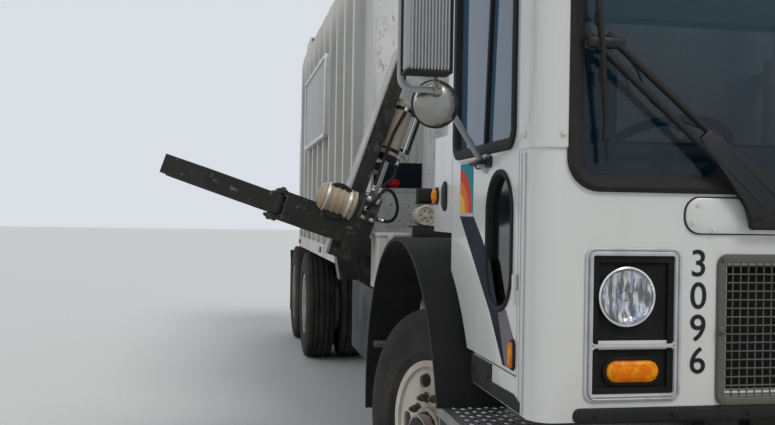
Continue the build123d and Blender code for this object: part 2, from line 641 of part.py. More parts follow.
# Doors: a wall with the window and the porthole cut, its rear foot cut for the arch
for name, side in SIDES:
    inner = side * (CAB_HALF - CAB_WALL)
    with BuildPart() as door:
        with BuildSketch(side_plane(inner)) as skin:
            with Locations(((PILLAR_X - SHUT_GAP + DOOR_REAR_X) / 2, (DOOR_BOTTOM + DOOR_TOP) / 2)):
                Rectangle(PILLAR_X - SHUT_GAP - DOOR_REAR_X, DOOR_TOP - DOOR_BOTTOM)
            with Locations((FRONT_AXLE_X, TYRE_R)):
                Circle(ARCH_R + ARCH_GAP, mode=Mode.SUBTRACT)
            with Locations((sum(DOOR_WINDOW_X) / 2, sum(DOOR_WINDOW_Z) / 2)):
                RectangleRounded(
                    DOOR_WINDOW_X[0] - DOOR_WINDOW_X[1], DOOR_WINDOW_Z[1] - DOOR_WINDOW_Z[0], 45, mode=Mode.SUBTRACT
                )
            with Locations((PORTHOLE_X, PORTHOLE_Z)):
                SlotOverall(PORTHOLE_H, PORTHOLE_W, rotation=90, mode=Mode.SUBTRACT)
        extrude(amount=-side * CAB_WALL)
        for z in HINGE_ZS:
            hinge_leaf(side, z + PAD_GAP, z + HINGE_HALF, HINGE_X, HINGE_X - 24)
    hand_over(door, f"door_{name}")
    with BuildPart() as door_glass:
        with BuildSketch(side_plane(inner + side * 16)) as panes:
            with Locations((sum(DOOR_WINDOW_X) / 2, sum(DOOR_WINDOW_Z) / 2)):
                RectangleRounded(DOOR_WINDOW_X[0] - DOOR_WINDOW_X[1], DOOR_WINDOW_Z[1] - DOOR_WINDOW_Z[0], 45)
            with Locations((PORTHOLE_X, PORTHOLE_Z)):
                SlotOverall(PORTHOLE_H, PORTHOLE_W, rotation=90)
        extrude(amount=-side * GLASS)
    hand_over(door_glass, f"door_glass_{name}")

# Mirrors: tube bracket from the door, tall head and round convex head
MIRROR_POST = (-205, CAB_HALF + 450)
MIRROR_ARM_Y = CAB_HALF + 250
TUBE_R = 13
for name, side in SIDES:
    post_x, post_y = MIRROR_POST[0], side * MIRROR_POST[1]
    with BuildPart() as mirror:
        block((-180, -90), both(side, MIRROR_ARM_Y - 70, MIRROR_ARM_Y + 160), (1900, 2290))
        for z, x in ((1650, -500), (2420, -250)):
            block((x - 40, x + 40), both(side, CAB_HALF, CAB_HALF + 18), (z - 30, z + 30))
        path = (
            (-500, side * (CAB_HALF + 15), 1650), (post_x, side * MIRROR_ARM_Y, 1862), (post_x, post_y, 1862),
            (post_x, post_y, 2420), (-250, side * (CAB_HALF + 15), 2420),
        )
        for start, end in zip(path, path[1:]):
            rod(start, end, TUBE_R)
        with Locations(*path[1:-1]):
            Sphere(TUBE_R + 1)
        block((post_x, -180), both(side, MIRROR_ARM_Y + 40, MIRROR_ARM_Y + 60), (1862, 1920))
        block((post_x, -180), both(side, MIRROR_ARM_Y + 40, MIRROR_POST[1]), (2270, 2288))
        rod((-250, side * MIRROR_ARM_Y, 1790), (-222, side * MIRROR_ARM_Y, 1790), 95)
        block((-240, post_x + 6), both(side, MIRROR_ARM_Y - 8, MIRROR_ARM_Y + 8), (1780, 1862))
    hand_over(mirror, f"mirror_{name}")

# Body floor: sills on the rails, plates and cross bearers
with BuildPart() as body_floor:
    for name, side in SIDES:
        block((BODY_REAR_X, HOPPER_FRONT_X), both(side, RAIL_Y - RAIL_FLANGE, RAIL_Y), (RAIL_TOP, FLOOR_Z))
    inner = BODY_HALF - SKIN
    block((BODY_REAR_X, BODY_FRONT_X), (-inner, inner), (FLOOR_Z, FLOOR_Z + 20))
    block((BODY_FRONT_X, HOPPER_FRONT_X), (SKIN - BAY_Y, inner), (HOPPER_FLOOR_Z, HOPPER_FLOOR_Z + 20))
    for x in (BODY_FRONT_X + 40, HOPPER_FRONT_X - 60):
        block((x - 40, x + 40), (SKIN - BAY_Y, inner), (FLOOR_Z, HOPPER_FLOOR_Z))
    for index in range(9):
        x = BODY_FRONT_X - 200 - index * 520
        for name, side in SIDES:
            block((x - 30, x + 30), both(side, RAIL_Y, inner), (FLOOR_Z - 16, FLOOR_Z))
hand_over(body_floor, "body_floor")


def shell(grow, thick, side, bottom, top=90.0):
    """Section of a body wall: upright, then round the shoulder by an angle in degrees."""
    outer = BODY_HALF + grow
    centre = outer - SHOULDER_R - grow
    turn = radians(top)
    with BuildLine() as outline:
        far = SHOULDER_R + grow
        near = far - thick
        Line((side * outer, bottom), (side * outer, WALL_TOP))
        mid = turn / 2
        ThreePointArc(
            (side * outer, WALL_TOP),
            (side * (centre + far * cos(mid)), WALL_TOP + far * sin(mid)),
            (side * (centre + far * cos(turn)), WALL_TOP + far * sin(turn)),
        )
        Line(
            (side * (centre + far * cos(turn)), WALL_TOP + far * sin(turn)),
            (side * (centre + near * cos(turn)), WALL_TOP + near * sin(turn)),
        )
        ThreePointArc(
            (side * (centre + near * cos(turn)), WALL_TOP + near * sin(turn)),
            (side * (centre + near * cos(mid)), WALL_TOP + near * sin(mid)),
            (side * (outer - thick), WALL_TOP),
        )
        Line((side * (outer - thick), WALL_TOP), (side * (outer - thick), bottom))
        Line((side * (outer - thick), bottom), (side * outer, bottom))
    make_face(outline.edges())


# Body walls with their ribs
RIB_PITCH = 449
RIB_COUNT = 10
for name, side in SIDES:
    with BuildPart() as body_wall:
        with BuildSketch(cross_plane(BODY_REAR_X)):
            shell(0, SKIN, side, BODY_BOTTOM - 20)
        extrude(amount=BODY_FRONT_X - BODY_REAR_X)
        for index in range(RIB_COUNT):
            x = BODY_REAR_X + 30 + index * RIB_PITCH
            with BuildSketch(cross_plane(x)):
                shell(RIB, RIB, side, BODY_BOTTOM)
            extrude(amount=RIB_W)
        block((BODY_REAR_X, BODY_FRONT_X), both(side, BODY_HALF, BODY_HALF + RIB), (BODY_BOTTOM - 20, BODY_BOTTOM + 90))
    hand_over(body_wall, f"body_wall_{name}")

# Roof plate between the two shoulders
roof_half = BODY_HALF - SHOULDER_R
roof_z = WALL_TOP + SHOULDER_R
with BuildPart() as body_roof:
    block((BODY_REAR_X, BODY_FRONT_X), (-roof_half, roof_half), (roof_z - SKIN, roof_z))
    for index in range(RIB_COUNT):
        x = BODY_REAR_X + 30 + index * RIB_PITCH
        block((x, x + RIB_W), (-roof_half, roof_half), (roof_z, roof_z + RIB))
    # hinge lugs and pins of the tailgate
    for name, side in SIDES:
        block((TAIL_HINGE_X - 30, BODY_REAR_X + 30), both(side, 605, 645), (TAIL_HINGE_Z - 30, TAIL_HINGE_Z + 30))
        rod((TAIL_HINGE_X, side * 552, TAIL_HINGE_Z), (TAIL_HINGE_X, side * 645, TAIL_HINGE_Z), HINGE_R)
hand_over(body_roof, "body_roof")

# Front bulkhead of the body with the packer's passage, and the hopper walls
PASSAGE_TOP = 2250
with BuildPart() as body_front:
    with BuildSketch(cross_plane(BODY_FRONT_X)) as bulkhead:
        with BuildLine():
            Line((-BODY_HALF, BODY_BOTTOM - 20), (-BODY_HALF, WALL_TOP))
            ThreePointArc(
                (-BODY_HALF, WALL_TOP),
                (-roof_half - SHOULDER_R * cos(radians(45)), WALL_TOP + SHOULDER_R * sin(radians(45))),
                (-roof_half, roof_z),
            )
            Line((-roof_half, roof_z), (roof_half, roof_z))
            ThreePointArc(
                (roof_half, roof_z),
                (roof_half + SHOULDER_R * cos(radians(45)), WALL_TOP + SHOULDER_R * sin(radians(45))),
                (BODY_HALF, WALL_TOP),
            )
            Line((BODY_HALF, WALL_TOP), (BODY_HALF, BODY_BOTTOM - 20))
            Line((BODY_HALF, BODY_BOTTOM - 20), (-BODY_HALF, BODY_BOTTOM - 20))
        make_face()
        with Locations(((BODY_HALF - BAY_Y) / 2, (FLOOR_Z - 30 + PASSAGE_TOP) / 2)):
            Rectangle(BODY_HALF + BAY_Y - 2 * SKIN, PASSAGE_TOP - FLOOR_Z + 30, mode=Mode.SUBTRACT)
    extrude(amount=SKIN)
hand_over(body_front, "body_front")

hopper_x = (BODY_FRONT_X + SKIN, HOPPER_FRONT_X)
with BuildPart() as hopper:
    inner = BODY_HALF - SKIN
    block((HOPPER_FRONT_X, HOPPER_FRONT_X + SKIN), (-BAY_Y, BODY_HALF), (BODY_BOTTOM, HOPPER_TOP))
    block(hopper_x, (inner, BODY_HALF), (BODY_BOTTOM, HOPPER_TOP))
    block(hopper_x, (-BAY_Y, SKIN - BAY_Y), (BODY_BOTTOM, SILL_Z))
    # flared sill
    with BuildSketch(cross_plane(hopper_x[0])) as sill:
        with BuildLine():
            Polyline(
                (-BAY_Y, SILL_Z - 150), (-SILL_Y, SILL_Z), (SKIN - BAY_Y, SILL_Z), (SKIN - BAY_Y, SILL_Z - 150),
                close=True,
            )
        make_face()
    extrude(amount=hopper_x[1] - hopper_x[0])
    block((ARM_X - SLEEVE_HALF, ARM_X + SLEEVE_HALF), (-BAY_Y, SKIN - BAY_Y), (BODY_BOTTOM, SLEEVE_Z[1]), Mode.SUBTRACT)
    # stiffening rib and top rim
    block(hopper_x, (BODY_HALF, BODY_HALF + RIB), (HOPPER_TOP - 90, HOPPER_TOP))
    block((-2560, -2560 + RIB_W), (BODY_HALF, BODY_HALF + RIB), (BODY_BOTTOM, HOPPER_TOP - 90))
hand_over(hopper, "hopper")

# Packer blade inside the hopper
PACKER_PLAY = 8
with BuildPart() as packer_blade:
    low = SKIN - BAY_Y + PACKER_PLAY
    high = BODY_HALF - SKIN - PACKER_PLAY
    with BuildSketch(Plane(origin=(0, low, 0), x_dir=(1, 0, 0), z_dir=(0, -1, 0))) as profile:
        with BuildLine():
            floor = HOPPER_FLOOR_Z + 20 + PACKER_PLAY
            back = HOPPER_FRONT_X - PACKER_PLAY
            Polyline(
                (back, floor), (back, floor + 760), (back - 60, floor + 760), (back - 330, floor + 500),
                (back - 330, floor), close=True,
            )
        make_face()
    extrude(amount=-(high - low))
    # wear shoes on the hopper's floor
    for y in (low + 200, high - 200):
        block((back - 330, back), (y - 40, y + 40), (floor - PACKER_PLAY + PAD_GAP, floor))
hand_over(packer_blade, "packer_blade")

# Tailgate: bulged hollow shell, hinge lugs at the top
with BuildPart() as tailgate:
    front = BODY_REAR_X - SHUT_GAP
    points = (
        (front, BODY_BOTTOM), (front, 3400), (-7900, 3400), (-8500, 2950), (TAIL_X, 2200), (TAIL_X, 1500),
        (-8420, BODY_BOTTOM),
    )
    with BuildSketch(side_plane(TAIL_HALF)) as outline:
        with BuildLine():
            Polyline(*points, close=True)
        make_face()
    extrude(amount=2 * TAIL_HALF)
    with BuildSketch(side_plane(TAIL_HALF - SKIN)) as hollow:
        with BuildLine():
            Polyline(*points, close=True)
        make_face()
        offset(amount=-SKIN, kind=Kind.INTERSECTION)
        with Locations((front, (BODY_BOTTOM + 3400) / 2)):
            Rectangle(60, 3400 - BODY_BOTTOM - 2 * SKIN)
    extrude(amount=2 * (TAIL_HALF - SKIN), mode=Mode.SUBTRACT)
    for name, side in SIDES:
        block((TAIL_HINGE_X - 60, front), both(side, 560, 600), (3390, TAIL_HINGE_Z + 30))
    rod((TAIL_HINGE_X, -700, TAIL_HINGE_Z), (TAIL_HINGE_X, 700, TAIL_HINGE_Z), HINGE_R + SHAFT_PLAY, Mode.SUBTRACT)
hand_over(tailgate, "tailgate")

# Arm base: sleeve across the sills with the reach beam in it
ARM_DIR = Vector(0, sin(radians(ARM_TILT)), cos(radians(ARM_TILT)))
OUT_DIR = Vector(0, -cos(radians(ARM_TILT)), sin(radians(ARM_TILT)))
with BuildPart() as arm_sleeve:
    span = (ARM_X - SLEEVE_HALF, ARM_X + SLEEVE_HALF)
    block(span, (-1000, 700), SLEEVE_Z)
    wall = SLEEVE_WALL
    block((span[0] + wall, span[1] - wall), (-1000, 700), (SLEEVE_Z[0] + wall, SLEEVE_Z[1] - wall), Mode.SUBTRACT)
hand_over(arm_sleeve, "arm_sleeve")

# Arm rail: reach beam, foot gusset and the inclined rail with its curved head
with BuildPart() as arm_rail:
    inside = SLEEVE_HALF - SLEEVE_WALL - SLIDE_PLAY
    low, high = SLEEVE_Z[0] + SLEEVE_WALL + PAD_GAP, SLEEVE_Z[1] - SLEEVE_WALL - SLIDE_PLAY
    block((ARM_X - inside, ARM_X + inside), (-1300, 640), (low, high))
    with BuildSketch(cross_plane(ARM_X - RAIL_HALF)) as rail:
        with BuildLine():
            foot = Vector(RAIL_OUTER_Y - (CARRIAGE_Z - ARM_RAIL_FOOT_Z) * tan(radians(ARM_TILT)), ARM_RAIL_FOOT_Z)
            head = Vector(RAIL_OUTER_Y + (ARM_RAIL_TOP_Z - CARRIAGE_Z) * tan(radians(ARM_TILT)), ARM_RAIL_TOP_Z)
            inward = Vector(cos(radians(ARM_TILT)), -sin(radians(ARM_TILT)))
            centre = head + inward * HEAD_R
            spots = {}
            for face, radius in (("outer", HEAD_R), ("inner", HEAD_R - ARM_RAIL_DEPTH)):
                for stage, turn in (("start", 0), ("middle", HEAD_TURN / 2), ("end", HEAD_TURN)):
                    angle = radians(180 - ARM_TILT - turn)
                    spot = centre + Vector(cos(angle), sin(angle)) * radius
                    spots[face, stage] = (spot.X, spot.Y)
            back = foot + inward * ARM_RAIL_DEPTH
            Line((foot.X, foot.Y), spots["outer", "start"])
            ThreePointArc(*(spots["outer", stage] for stage in ("start", "middle", "end")))
            Line(spots["outer", "end"], spots["inner", "end"])
            ThreePointArc(*(spots["inner", stage] for stage in ("end", "middle", "start")))
            Polyline(spots["inner", "start"], (back.X, back.Y), (foot.X, foot.Y))
        make_face()
    extrude(amount=2 * RAIL_HALF)
    with BuildSketch(cross_plane(ARM_X - 60)) as gusset:
        with BuildLine():
            Polyline((-1150, high), (-1150, high + 40), (-1330, 1400), (-1440, 1330), (-1400, low), (-1200, low), close=True)
        make_face()
    extrude(amount=120)
hand_over(arm_rail, "arm_rail")

# Carriage on the rail: two cheek plates and the tilt pin
PIVOT = Vector(ARM_X, RAIL_OUTER_Y, CARRIAGE_Z) + OUT_DIR * PIVOT_OUT
CHEEK_IN = RAIL_HALF + 5
CHEEK_T = 20
LUG_T = 26
with BuildPart() as arm_carriage:
    for end in (-1, 1):
        x = ARM_X + end * CHEEK_IN if end > 0 else ARM_X - CHEEK_IN - CHEEK_T
        with BuildSketch(Plane(origin=(x, PIVOT.Y, PIVOT.Z), x_dir=-OUT_DIR, z_dir=(1, 0, 0))) as cheek:
            with BuildLine():
                back = PIVOT_OUT + 60
                Polyline((0, -75), (back, -75), (back, 75), (150, 75), (98, 8), (88, 8), (30, 46), (0, 46), close=True)
            make_face()
            Circle(52)
        extrude(amount=CHEEK_T)
    with BuildSketch(Plane(origin=(ARM_X - CHEEK_IN, PIVOT.Y, PIVOT.Z), x_dir=-OUT_DIR, z_dir=(1, 0, 0))) as spacer:
        with Locations((PIVOT_OUT - 25, 0)):
            Rectangle(40, 40)
    extrude(amount=2 * CHEEK_IN)
    # wear pads against the rail's sides
    for end in (-1, 1):
        x = ARM_X + RAIL_HALF + PAD_GAP if end > 0 else ARM_X - CHEEK_IN
        with BuildSketch(Plane(origin=(x, PIVOT.Y, PIVOT.Z), x_dir=-OUT_DIR, z_dir=(1, 0, 0))) as pads:
            with Locations((PIVOT_OUT + 30, -50), (PIVOT_OUT + 30, 50)):
                Rectangle(40, 30)
        extrude(amount=CHEEK_IN - RAIL_HALF - PAD_GAP)
    rod((ARM_X - 160, PIVOT.Y, PIVOT.Z), (ARM_X + 160, PIVOT.Y, PIVOT.Z), 25)
hand_over(arm_carriage, "arm_carriage")


def arm_place(x, inboard, rise):
    """A place beside the rail: forward of its middle, inboard of the tilt pin and up along the rail."""
    place = PIVOT - OUT_DIR * inboard + ARM_DIR * rise
    return Vector(ARM_X + x, place.Y, place.Z)


def grip_plane(x, rise):
    """A plane across the arm, its own x forward and its own y inboard, at a height along the rail."""
    origin = PIVOT + ARM_DIR * rise
    return Plane(origin=(x, origin.Y, origin.Z), x_dir=(1, 0, 0), z_dir=ARM_DIR)


# Tilting frame: lugs on the pin, cross tube, side beams with the finger clevises
with BuildPart() as grip_frame:
    for end in (-1, 1):
        x = ARM_X + end * (CHEEK_IN + CHEEK_T + 5 + LUG_T / 2) - LUG_T / 2
        with BuildSketch(Plane(origin=(x, PIVOT.Y, PIVOT.Z), x_dir=-OUT_DIR, z_dir=(1, 0, 0))) as lug:
            with Locations((-40, 0)):
                Rectangle(90, 90)
            Circle(48)
        extrude(amount=LUG_T)
    with BuildSketch(grip_plane(ARM_X, -65)) as cross_tube:
        with Locations((0, -100)):
            Rectangle(2 * (GRIP_X + 35), 70)
    extrude(amount=130)
    for end in (-1, 1):
        x = ARM_X + end * GRIP_X
        with BuildSketch(grip_plane(x, -75)) as side_beam:
            with Locations((0, 100)):
                Rectangle(60, 460)
        extrude(amount=150)
        for rise in (-75, 57):
            with BuildSketch(grip_plane(x, rise)) as ear:
                with Locations((0, -130)):
                    Rectangle(70, 80)
                with Locations((0, -FINGER_HINGE_OUT)):
                    Circle(35)
            extrude(amount=18)
        with BuildSketch(grip_plane(x, -75)) as pin:
            with Locations((0, -FINGER_HINGE_OUT)):
                Circle(18)
        extrude(amount=150)
    # drum of the tilt drive through the front side beam, ribbed on its outer face
    drum_face = arm_place(GRIP_X + 40, *DRUM_PLACE)
    with BuildSketch(Plane(origin=drum_face, x_dir=(0, 1, 0), z_dir=(0, 0, -1))) as drum:
        with BuildLine():
            step = DRUM_R / 5
            Polyline(
                (0, 12), (step, 12), (step, 0), (2 * step, 0), (2 * step, 8), (3 * step, 8), (3 * step, 0), (4 * step, 0),
                (4 * step, 4), (DRUM_R, 4), (DRUM_R, -DRUM_L), (0, -DRUM_L), close=True,
            )
        make_face()
    revolve(axis=Axis(drum_face, (1, 0, 0)))
    rod((ARM_X - 200, PIVOT.Y, PIVOT.Z), (ARM_X + 200, PIVOT.Y, PIVOT.Z), 25 + SHAFT_PLAY, Mode.SUBTRACT)
hand_over(grip_frame, "grip_frame")

# Fingers: tapered beams whose tips turn in
for name, end in (("front", 1), ("rear", -1)):
    x = ARM_X + end * GRIP_X
    with BuildPart() as finger:
        with BuildSketch(grip_plane(x, -50)) as beam:
            with BuildLine():
                half = FINGER_T / 2
                Polyline(
                    (end * half, -FINGER_HINGE_OUT), (end * half, -560), (-end * 70, -FINGER_REACH),
                    (-end * 105, -FINGER_REACH + 20), (-end * half, -540), (-end * half, -FINGER_HINGE_OUT),
                    close=True,
                )
            make_face()
            with Locations((0, -FINGER_HINGE_OUT)):
                Circle(30)
                Circle(18 + SHAFT_PLAY, mode=Mode.SUBTRACT)
        extrude(amount=100)
    hand_over(finger, f"finger_{name}")

# Lift cylinder behind the rail: barrel on two straps, rod down to the gusset
with BuildPart() as lift_cylinder:
    inboard = PIVOT - OUT_DIR * (PIVOT_OUT + ARM_RAIL_DEPTH + CYLINDER_OUT)
    inboard = Vector(ARM_X, inboard.Y, inboard.Z)
    barrel_foot, barrel_head = inboard + ARM_DIR * 450, inboard + ARM_DIR * 790
    rod(barrel_foot, barrel_head, CYLINDER_R)
    rod(inboard + ARM_DIR * 27, barrel_foot, 20)
    with BuildSketch(Plane(origin=(ARM_X - 20, inboard.Y, inboard.Z), x_dir=-OUT_DIR, z_dir=(1, 0, 0))) as strap:
        for rise in (500, 740):
            with Locations((-CYLINDER_OUT / 2 - 5, rise)):
                Rectangle(CYLINDER_OUT - 10, 50)
    extrude(amount=40)
    # hose ports at the barrel's two ends
    rod_line = PIVOT_OUT + ARM_RAIL_DEPTH + CYLINDER_OUT
    rod(arm_place(CYLINDER_R - 6, rod_line, 765), arm_place(CYLINDER_R + 44, rod_line, 765), 13)
    rod(arm_place(0, rod_line + CYLINDER_R - 6, 475), arm_place(0, rod_line + CYLINDER_R + 32, 475), 13)
hand_over(lift_cylinder, "lift_cylinder")

# Valve block on the rail's inner face, with its caps, stubs and hose clips
VALVE_X = (30, 110)
VALVE_IN = (PIVOT_OUT + ARM_RAIL_DEPTH, PIVOT_OUT + ARM_RAIL_DEPTH + 100)
VALVE_RISE = (50, 230)
STUB = 18
HOSE_X = 72
HOSE_IN = VALVE_IN[0] + 37
with BuildPart() as arm_valves:
    with BuildSketch(Plane(origin=arm_place(VALVE_X[0], 0, 0), x_dir=-OUT_DIR, z_dir=(1, 0, 0))) as valve:
        with Locations((sum(VALVE_IN) / 2, sum(VALVE_RISE) / 2)):
            RectangleRounded(VALVE_IN[1] - VALVE_IN[0], VALVE_RISE[1] - VALVE_RISE[0], 8)
    extrude(amount=VALVE_X[1] - VALVE_X[0])
    for inboard in (VALVE_IN[0] + 26, VALVE_IN[1] - 26):
        for rise in (85, 140, 195):
            rod(arm_place(VALVE_X[1], inboard, rise), arm_place(VALVE_X[1] + 22, inboard, rise), 15)
    for inboard in (HOSE_IN, VALVE_IN[1] - 22):
        rod(arm_place(HOSE_X, inboard, VALVE_RISE[1]), arm_place(HOSE_X, inboard, VALVE_RISE[1] + STUB), 13)
    rod(arm_place(HOSE_X, VALVE_IN[1], 110), arm_place(HOSE_X, VALVE_IN[1] + STUB, 110), 13)
    clip_end = HOSE_IN - HOSE_R - 0.6
    for rise in (350, 480):
        place = Plane(origin=arm_place(HOSE_X - 8, 0, 0), x_dir=-OUT_DIR, z_dir=(1, 0, 0))
        with BuildSketch(place) as clip:
            with Locations(((VALVE_IN[0] + clip_end) / 2, rise)):
                Rectangle(clip_end - VALVE_IN[0], 24)
        extrude(amount=16)
hand_over(arm_valves, "arm_valves")

# Hoses from the valve block: each row is its first and last directions, then its points forward, inboard and up,
# straight between the first two
UP_RAIL = (ARM_DIR.X, ARM_DIR.Y, ARM_DIR.Z)
HOSES = (
    (
        UP_RAIL, UP_RAIL,
        (HOSE_X, HOSE_IN, VALVE_RISE[1] + STUB + PAD_GAP), (HOSE_X, HOSE_IN, 560), (HOSE_X, rod_line, 765 - 13.3),
    ),
    (
        UP_RAIL, UP_RAIL,
        (HOSE_X, VALVE_IN[1] - 22, VALVE_RISE[1] + STUB + PAD_GAP), (HOSE_X, VALVE_IN[1] - 22, 262),
        (HOSE_X - 20, VALVE_IN[1] + 16, 345), (0, rod_line + CYLINDER_R + 21, 475 - 13.3),
    ),
    (
        (0, -OUT_DIR.Y, -OUT_DIR.Z), (-1, 0, 0),
        (HOSE_X, VALVE_IN[1] + STUB + PAD_GAP, 110), (HOSE_X, VALVE_IN[1] + 33, 110),
        (HOSE_X + 50, VALVE_IN[1] + 90, 200), (HOSE_X + 110, VALVE_IN[0] + 85, 270),
        (VALVE_X[1] + 22.3, VALVE_IN[0] + 26, 140),
    ),
)
with BuildPart() as arm_hoses:
    for first, last, *points in HOSES:
        run = [arm_place(*point) for point in points]
        with BuildLine() as route:
            Line(run[0], run[1])
            Spline(*run[1:], tangents=(first, last))
        with BuildSketch(Plane(origin=run[0], z_dir=first)) as section:
            Circle(HOSE_R)
        sweep(sections=section.sketch, path=route.line)
hand_over(arm_hoses, "arm_hoses")
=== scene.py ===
"""Looks of the side-loading refuse truck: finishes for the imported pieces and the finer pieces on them.

Metres. Places are in the truck's own coordinates: x = 0 is the cab's front panel and x runs forward, y = 0
is the centre plane and y runs to the left, z = 0 is the ground. The kerb side is -y. TRUCK is where their
origin stands in the scene.
"""
from math import cos, pi, radians, sin, tau

import bmesh
import bpy
from mathutils import Matrix, Vector


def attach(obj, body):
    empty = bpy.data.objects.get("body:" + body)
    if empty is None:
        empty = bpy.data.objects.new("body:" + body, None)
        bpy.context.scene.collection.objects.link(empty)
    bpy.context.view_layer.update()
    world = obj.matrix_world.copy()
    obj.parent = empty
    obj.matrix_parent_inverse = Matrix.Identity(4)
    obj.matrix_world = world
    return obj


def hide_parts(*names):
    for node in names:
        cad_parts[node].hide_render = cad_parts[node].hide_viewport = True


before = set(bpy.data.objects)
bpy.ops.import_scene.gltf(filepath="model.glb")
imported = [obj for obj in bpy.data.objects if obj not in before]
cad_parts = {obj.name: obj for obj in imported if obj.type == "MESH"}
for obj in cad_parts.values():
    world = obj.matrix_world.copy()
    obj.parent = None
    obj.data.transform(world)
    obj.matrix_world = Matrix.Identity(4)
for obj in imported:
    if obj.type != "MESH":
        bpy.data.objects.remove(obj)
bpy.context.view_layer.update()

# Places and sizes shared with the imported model
TRUCK = Vector((4.315, 0.372, 0))
SIDES = (("right", -1), ("left", 1))
FORWARD = Vector((1, 0, 0))
CAB_HALF = 1.150
CAB_CORNER_R = 0.070
WINDSHIELD_HALF = 1.020
WINDSHIELD_Z = (1.556, 2.340)
# x and z of the middle, width, height
REAR_WINDOW = (-1.040, 2.030, 1.5, 0.52)
DOOR_WINDOW = (-0.560, 2.045, 0.710, 0.690)
PORTHOLE = (-0.342, 1.392, 0.262, 0.440)
TYRE_R = 0.531
FRONT_AXLE_X = -1.460
REAR_AXLES = (("fore", -6.650), ("aft", -8.020))
KINGPIN_Y, REAR_HUB_Y = 0.860, 0.930
# From the kingpin out to the front wheel's middle, and from a rear hub's middle to each twin tyre's
FRONT_OFFSET, TWIN_HALF = 0.160, 0.165
STEER = radians(20.7)
BODY_HALF = 1.220
BAY_WALL_X = -2.948
TAIL_X = -8.802
RAIL_FOOT = Vector((-2.480, -1.433, 1.400))
RAIL_HEAD_R = 0.163
ARM_TILT = radians(18.9)
ARM_DIR = Vector((0, sin(ARM_TILT), cos(ARM_TILT)))
OUT_DIR = Vector((0, -cos(ARM_TILT), sin(ARM_TILT)))
PIVOT_OUT = 0.170
PIVOT = RAIL_FOOT + OUT_DIR * PIVOT_OUT

LOOKS = {}


# Materials
class Look:
    """A material while it is made: its nodes, its shader and the colour laid down so far."""

    def __init__(self, name, colour, rough, metal=0.0, coat=0.0, alpha=1.0, specular=0.5):
        material = LOOKS[name] = bpy.data.materials.new(name)
        material.use_nodes = True
        material.diffuse_color = (*colour, 1)
        self.tree = material.node_tree
        self.shader = self.tree.nodes["Principled BSDF"].inputs
        self.base = colour
        for socket, value in (
            ("Base Color", (*colour, 1)), ("Roughness", rough), ("Metallic", metal), ("Coat Weight", coat),
            ("Alpha", alpha), ("Specular IOR Level", specular),
        ):
            self.shader[socket].default_value = value

    def feed(self, socket, value):
        """Join another node's output to a socket, or set the socket's own value."""
        if isinstance(value, bpy.types.NodeSocket):
            self.tree.links.new(value, socket)
        else:
            socket.default_value = value

    def add(self, kind, sockets, output=0, **settings):
        """An output of a new node, with its settings and what its sockets are fed."""
        node = self.tree.nodes.new(f"ShaderNode{kind}")
        for setting, value in settings.items():
            setattr(node, setting, value)
        for socket, value in sockets.items():
            self.feed(node.inputs[socket], value)
        return node.outputs[output]

    def coordinates(self, stretch=(1, 1, 1), turn=0.0):
        """Object coordinates, stretched along each axis or turned about the vertical."""
        source = self.add("TexCoord", {}, "Object")
        return self.add("Mapping", {"Vector": source, "Scale": stretch, "Rotation": (0, 0, turn)})

    def noise(self, scale, detail, stretch=(1, 1, 1), roughness=0.55):
        """Fractal noise over object coordinates."""
        place = self.coordinates(stretch)
        sockets = {"Vector": place, "Scale": scale, "Detail": detail, "Roughness": roughness}
        return self.add("TexNoise", sockets, "Fac")

    def wave(self, scale, vector, **settings):
        """Parallel bands."""
        return self.add("TexWave", {"Vector": vector, "Scale": scale}, "Fac", **settings)

    def spread(self, value, low, high, to_low=0.0, to_high=1.0):
        """A value taken from one range to another, held at its ends."""
        return self.add("MapRange", {
            "Value": value, "From Min": low, "From Max": high, "To Min": to_low, "To Max": to_high,
        })

    def patches(self, scale, detail, low, high, stretch=(1, 1, 1), roughness=0.55):
        """A mask of soft patches: noise between two levels."""
        return self.spread(self.noise(scale, detail, stretch, roughness), low, high)

    def lowness(self, low, high):
        """A mask that falls from one at a low height to nothing at a high one."""
        height = self.add("SeparateXYZ", {"Vector": self.coordinates()}, "Z")
        return self.spread(height, low, high, 1, 0)

    def multiply(self, first, second):
        """The product of two values."""
        return self.add("Math", {0: first, 1: second}, operation="MULTIPLY")

    def stain(self, mask, colour, amount=None):
        """Lay a colour over the base where a mask is bright."""
        share = mask if amount is None else self.multiply(mask, amount)
        below = (*self.base, 1) if isinstance(self.base, tuple) else self.base
        sockets = {"Factor": share, "A": below, "B": (*colour, 1)}
        self.base = self.add("Mix", sockets, "Result", data_type="RGBA")
        self.feed(self.shader["Base Color"], self.base)

    def roughen(self, mask, low, high):
        """Roughness that follows a mask."""
        self.feed(self.shader["Roughness"], self.spread(mask, 0, 1, low, high))

    def relief(self, height, strength, distance):
        """Surface relief from a height value."""
        sockets = {"Height": height, "Strength": strength, "Distance": distance}
        self.feed(self.shader["Normal"], self.add("Bump", sockets))


def darker(colour, share):
    """A share of a colour."""
    return tuple(share * part for part in colour)


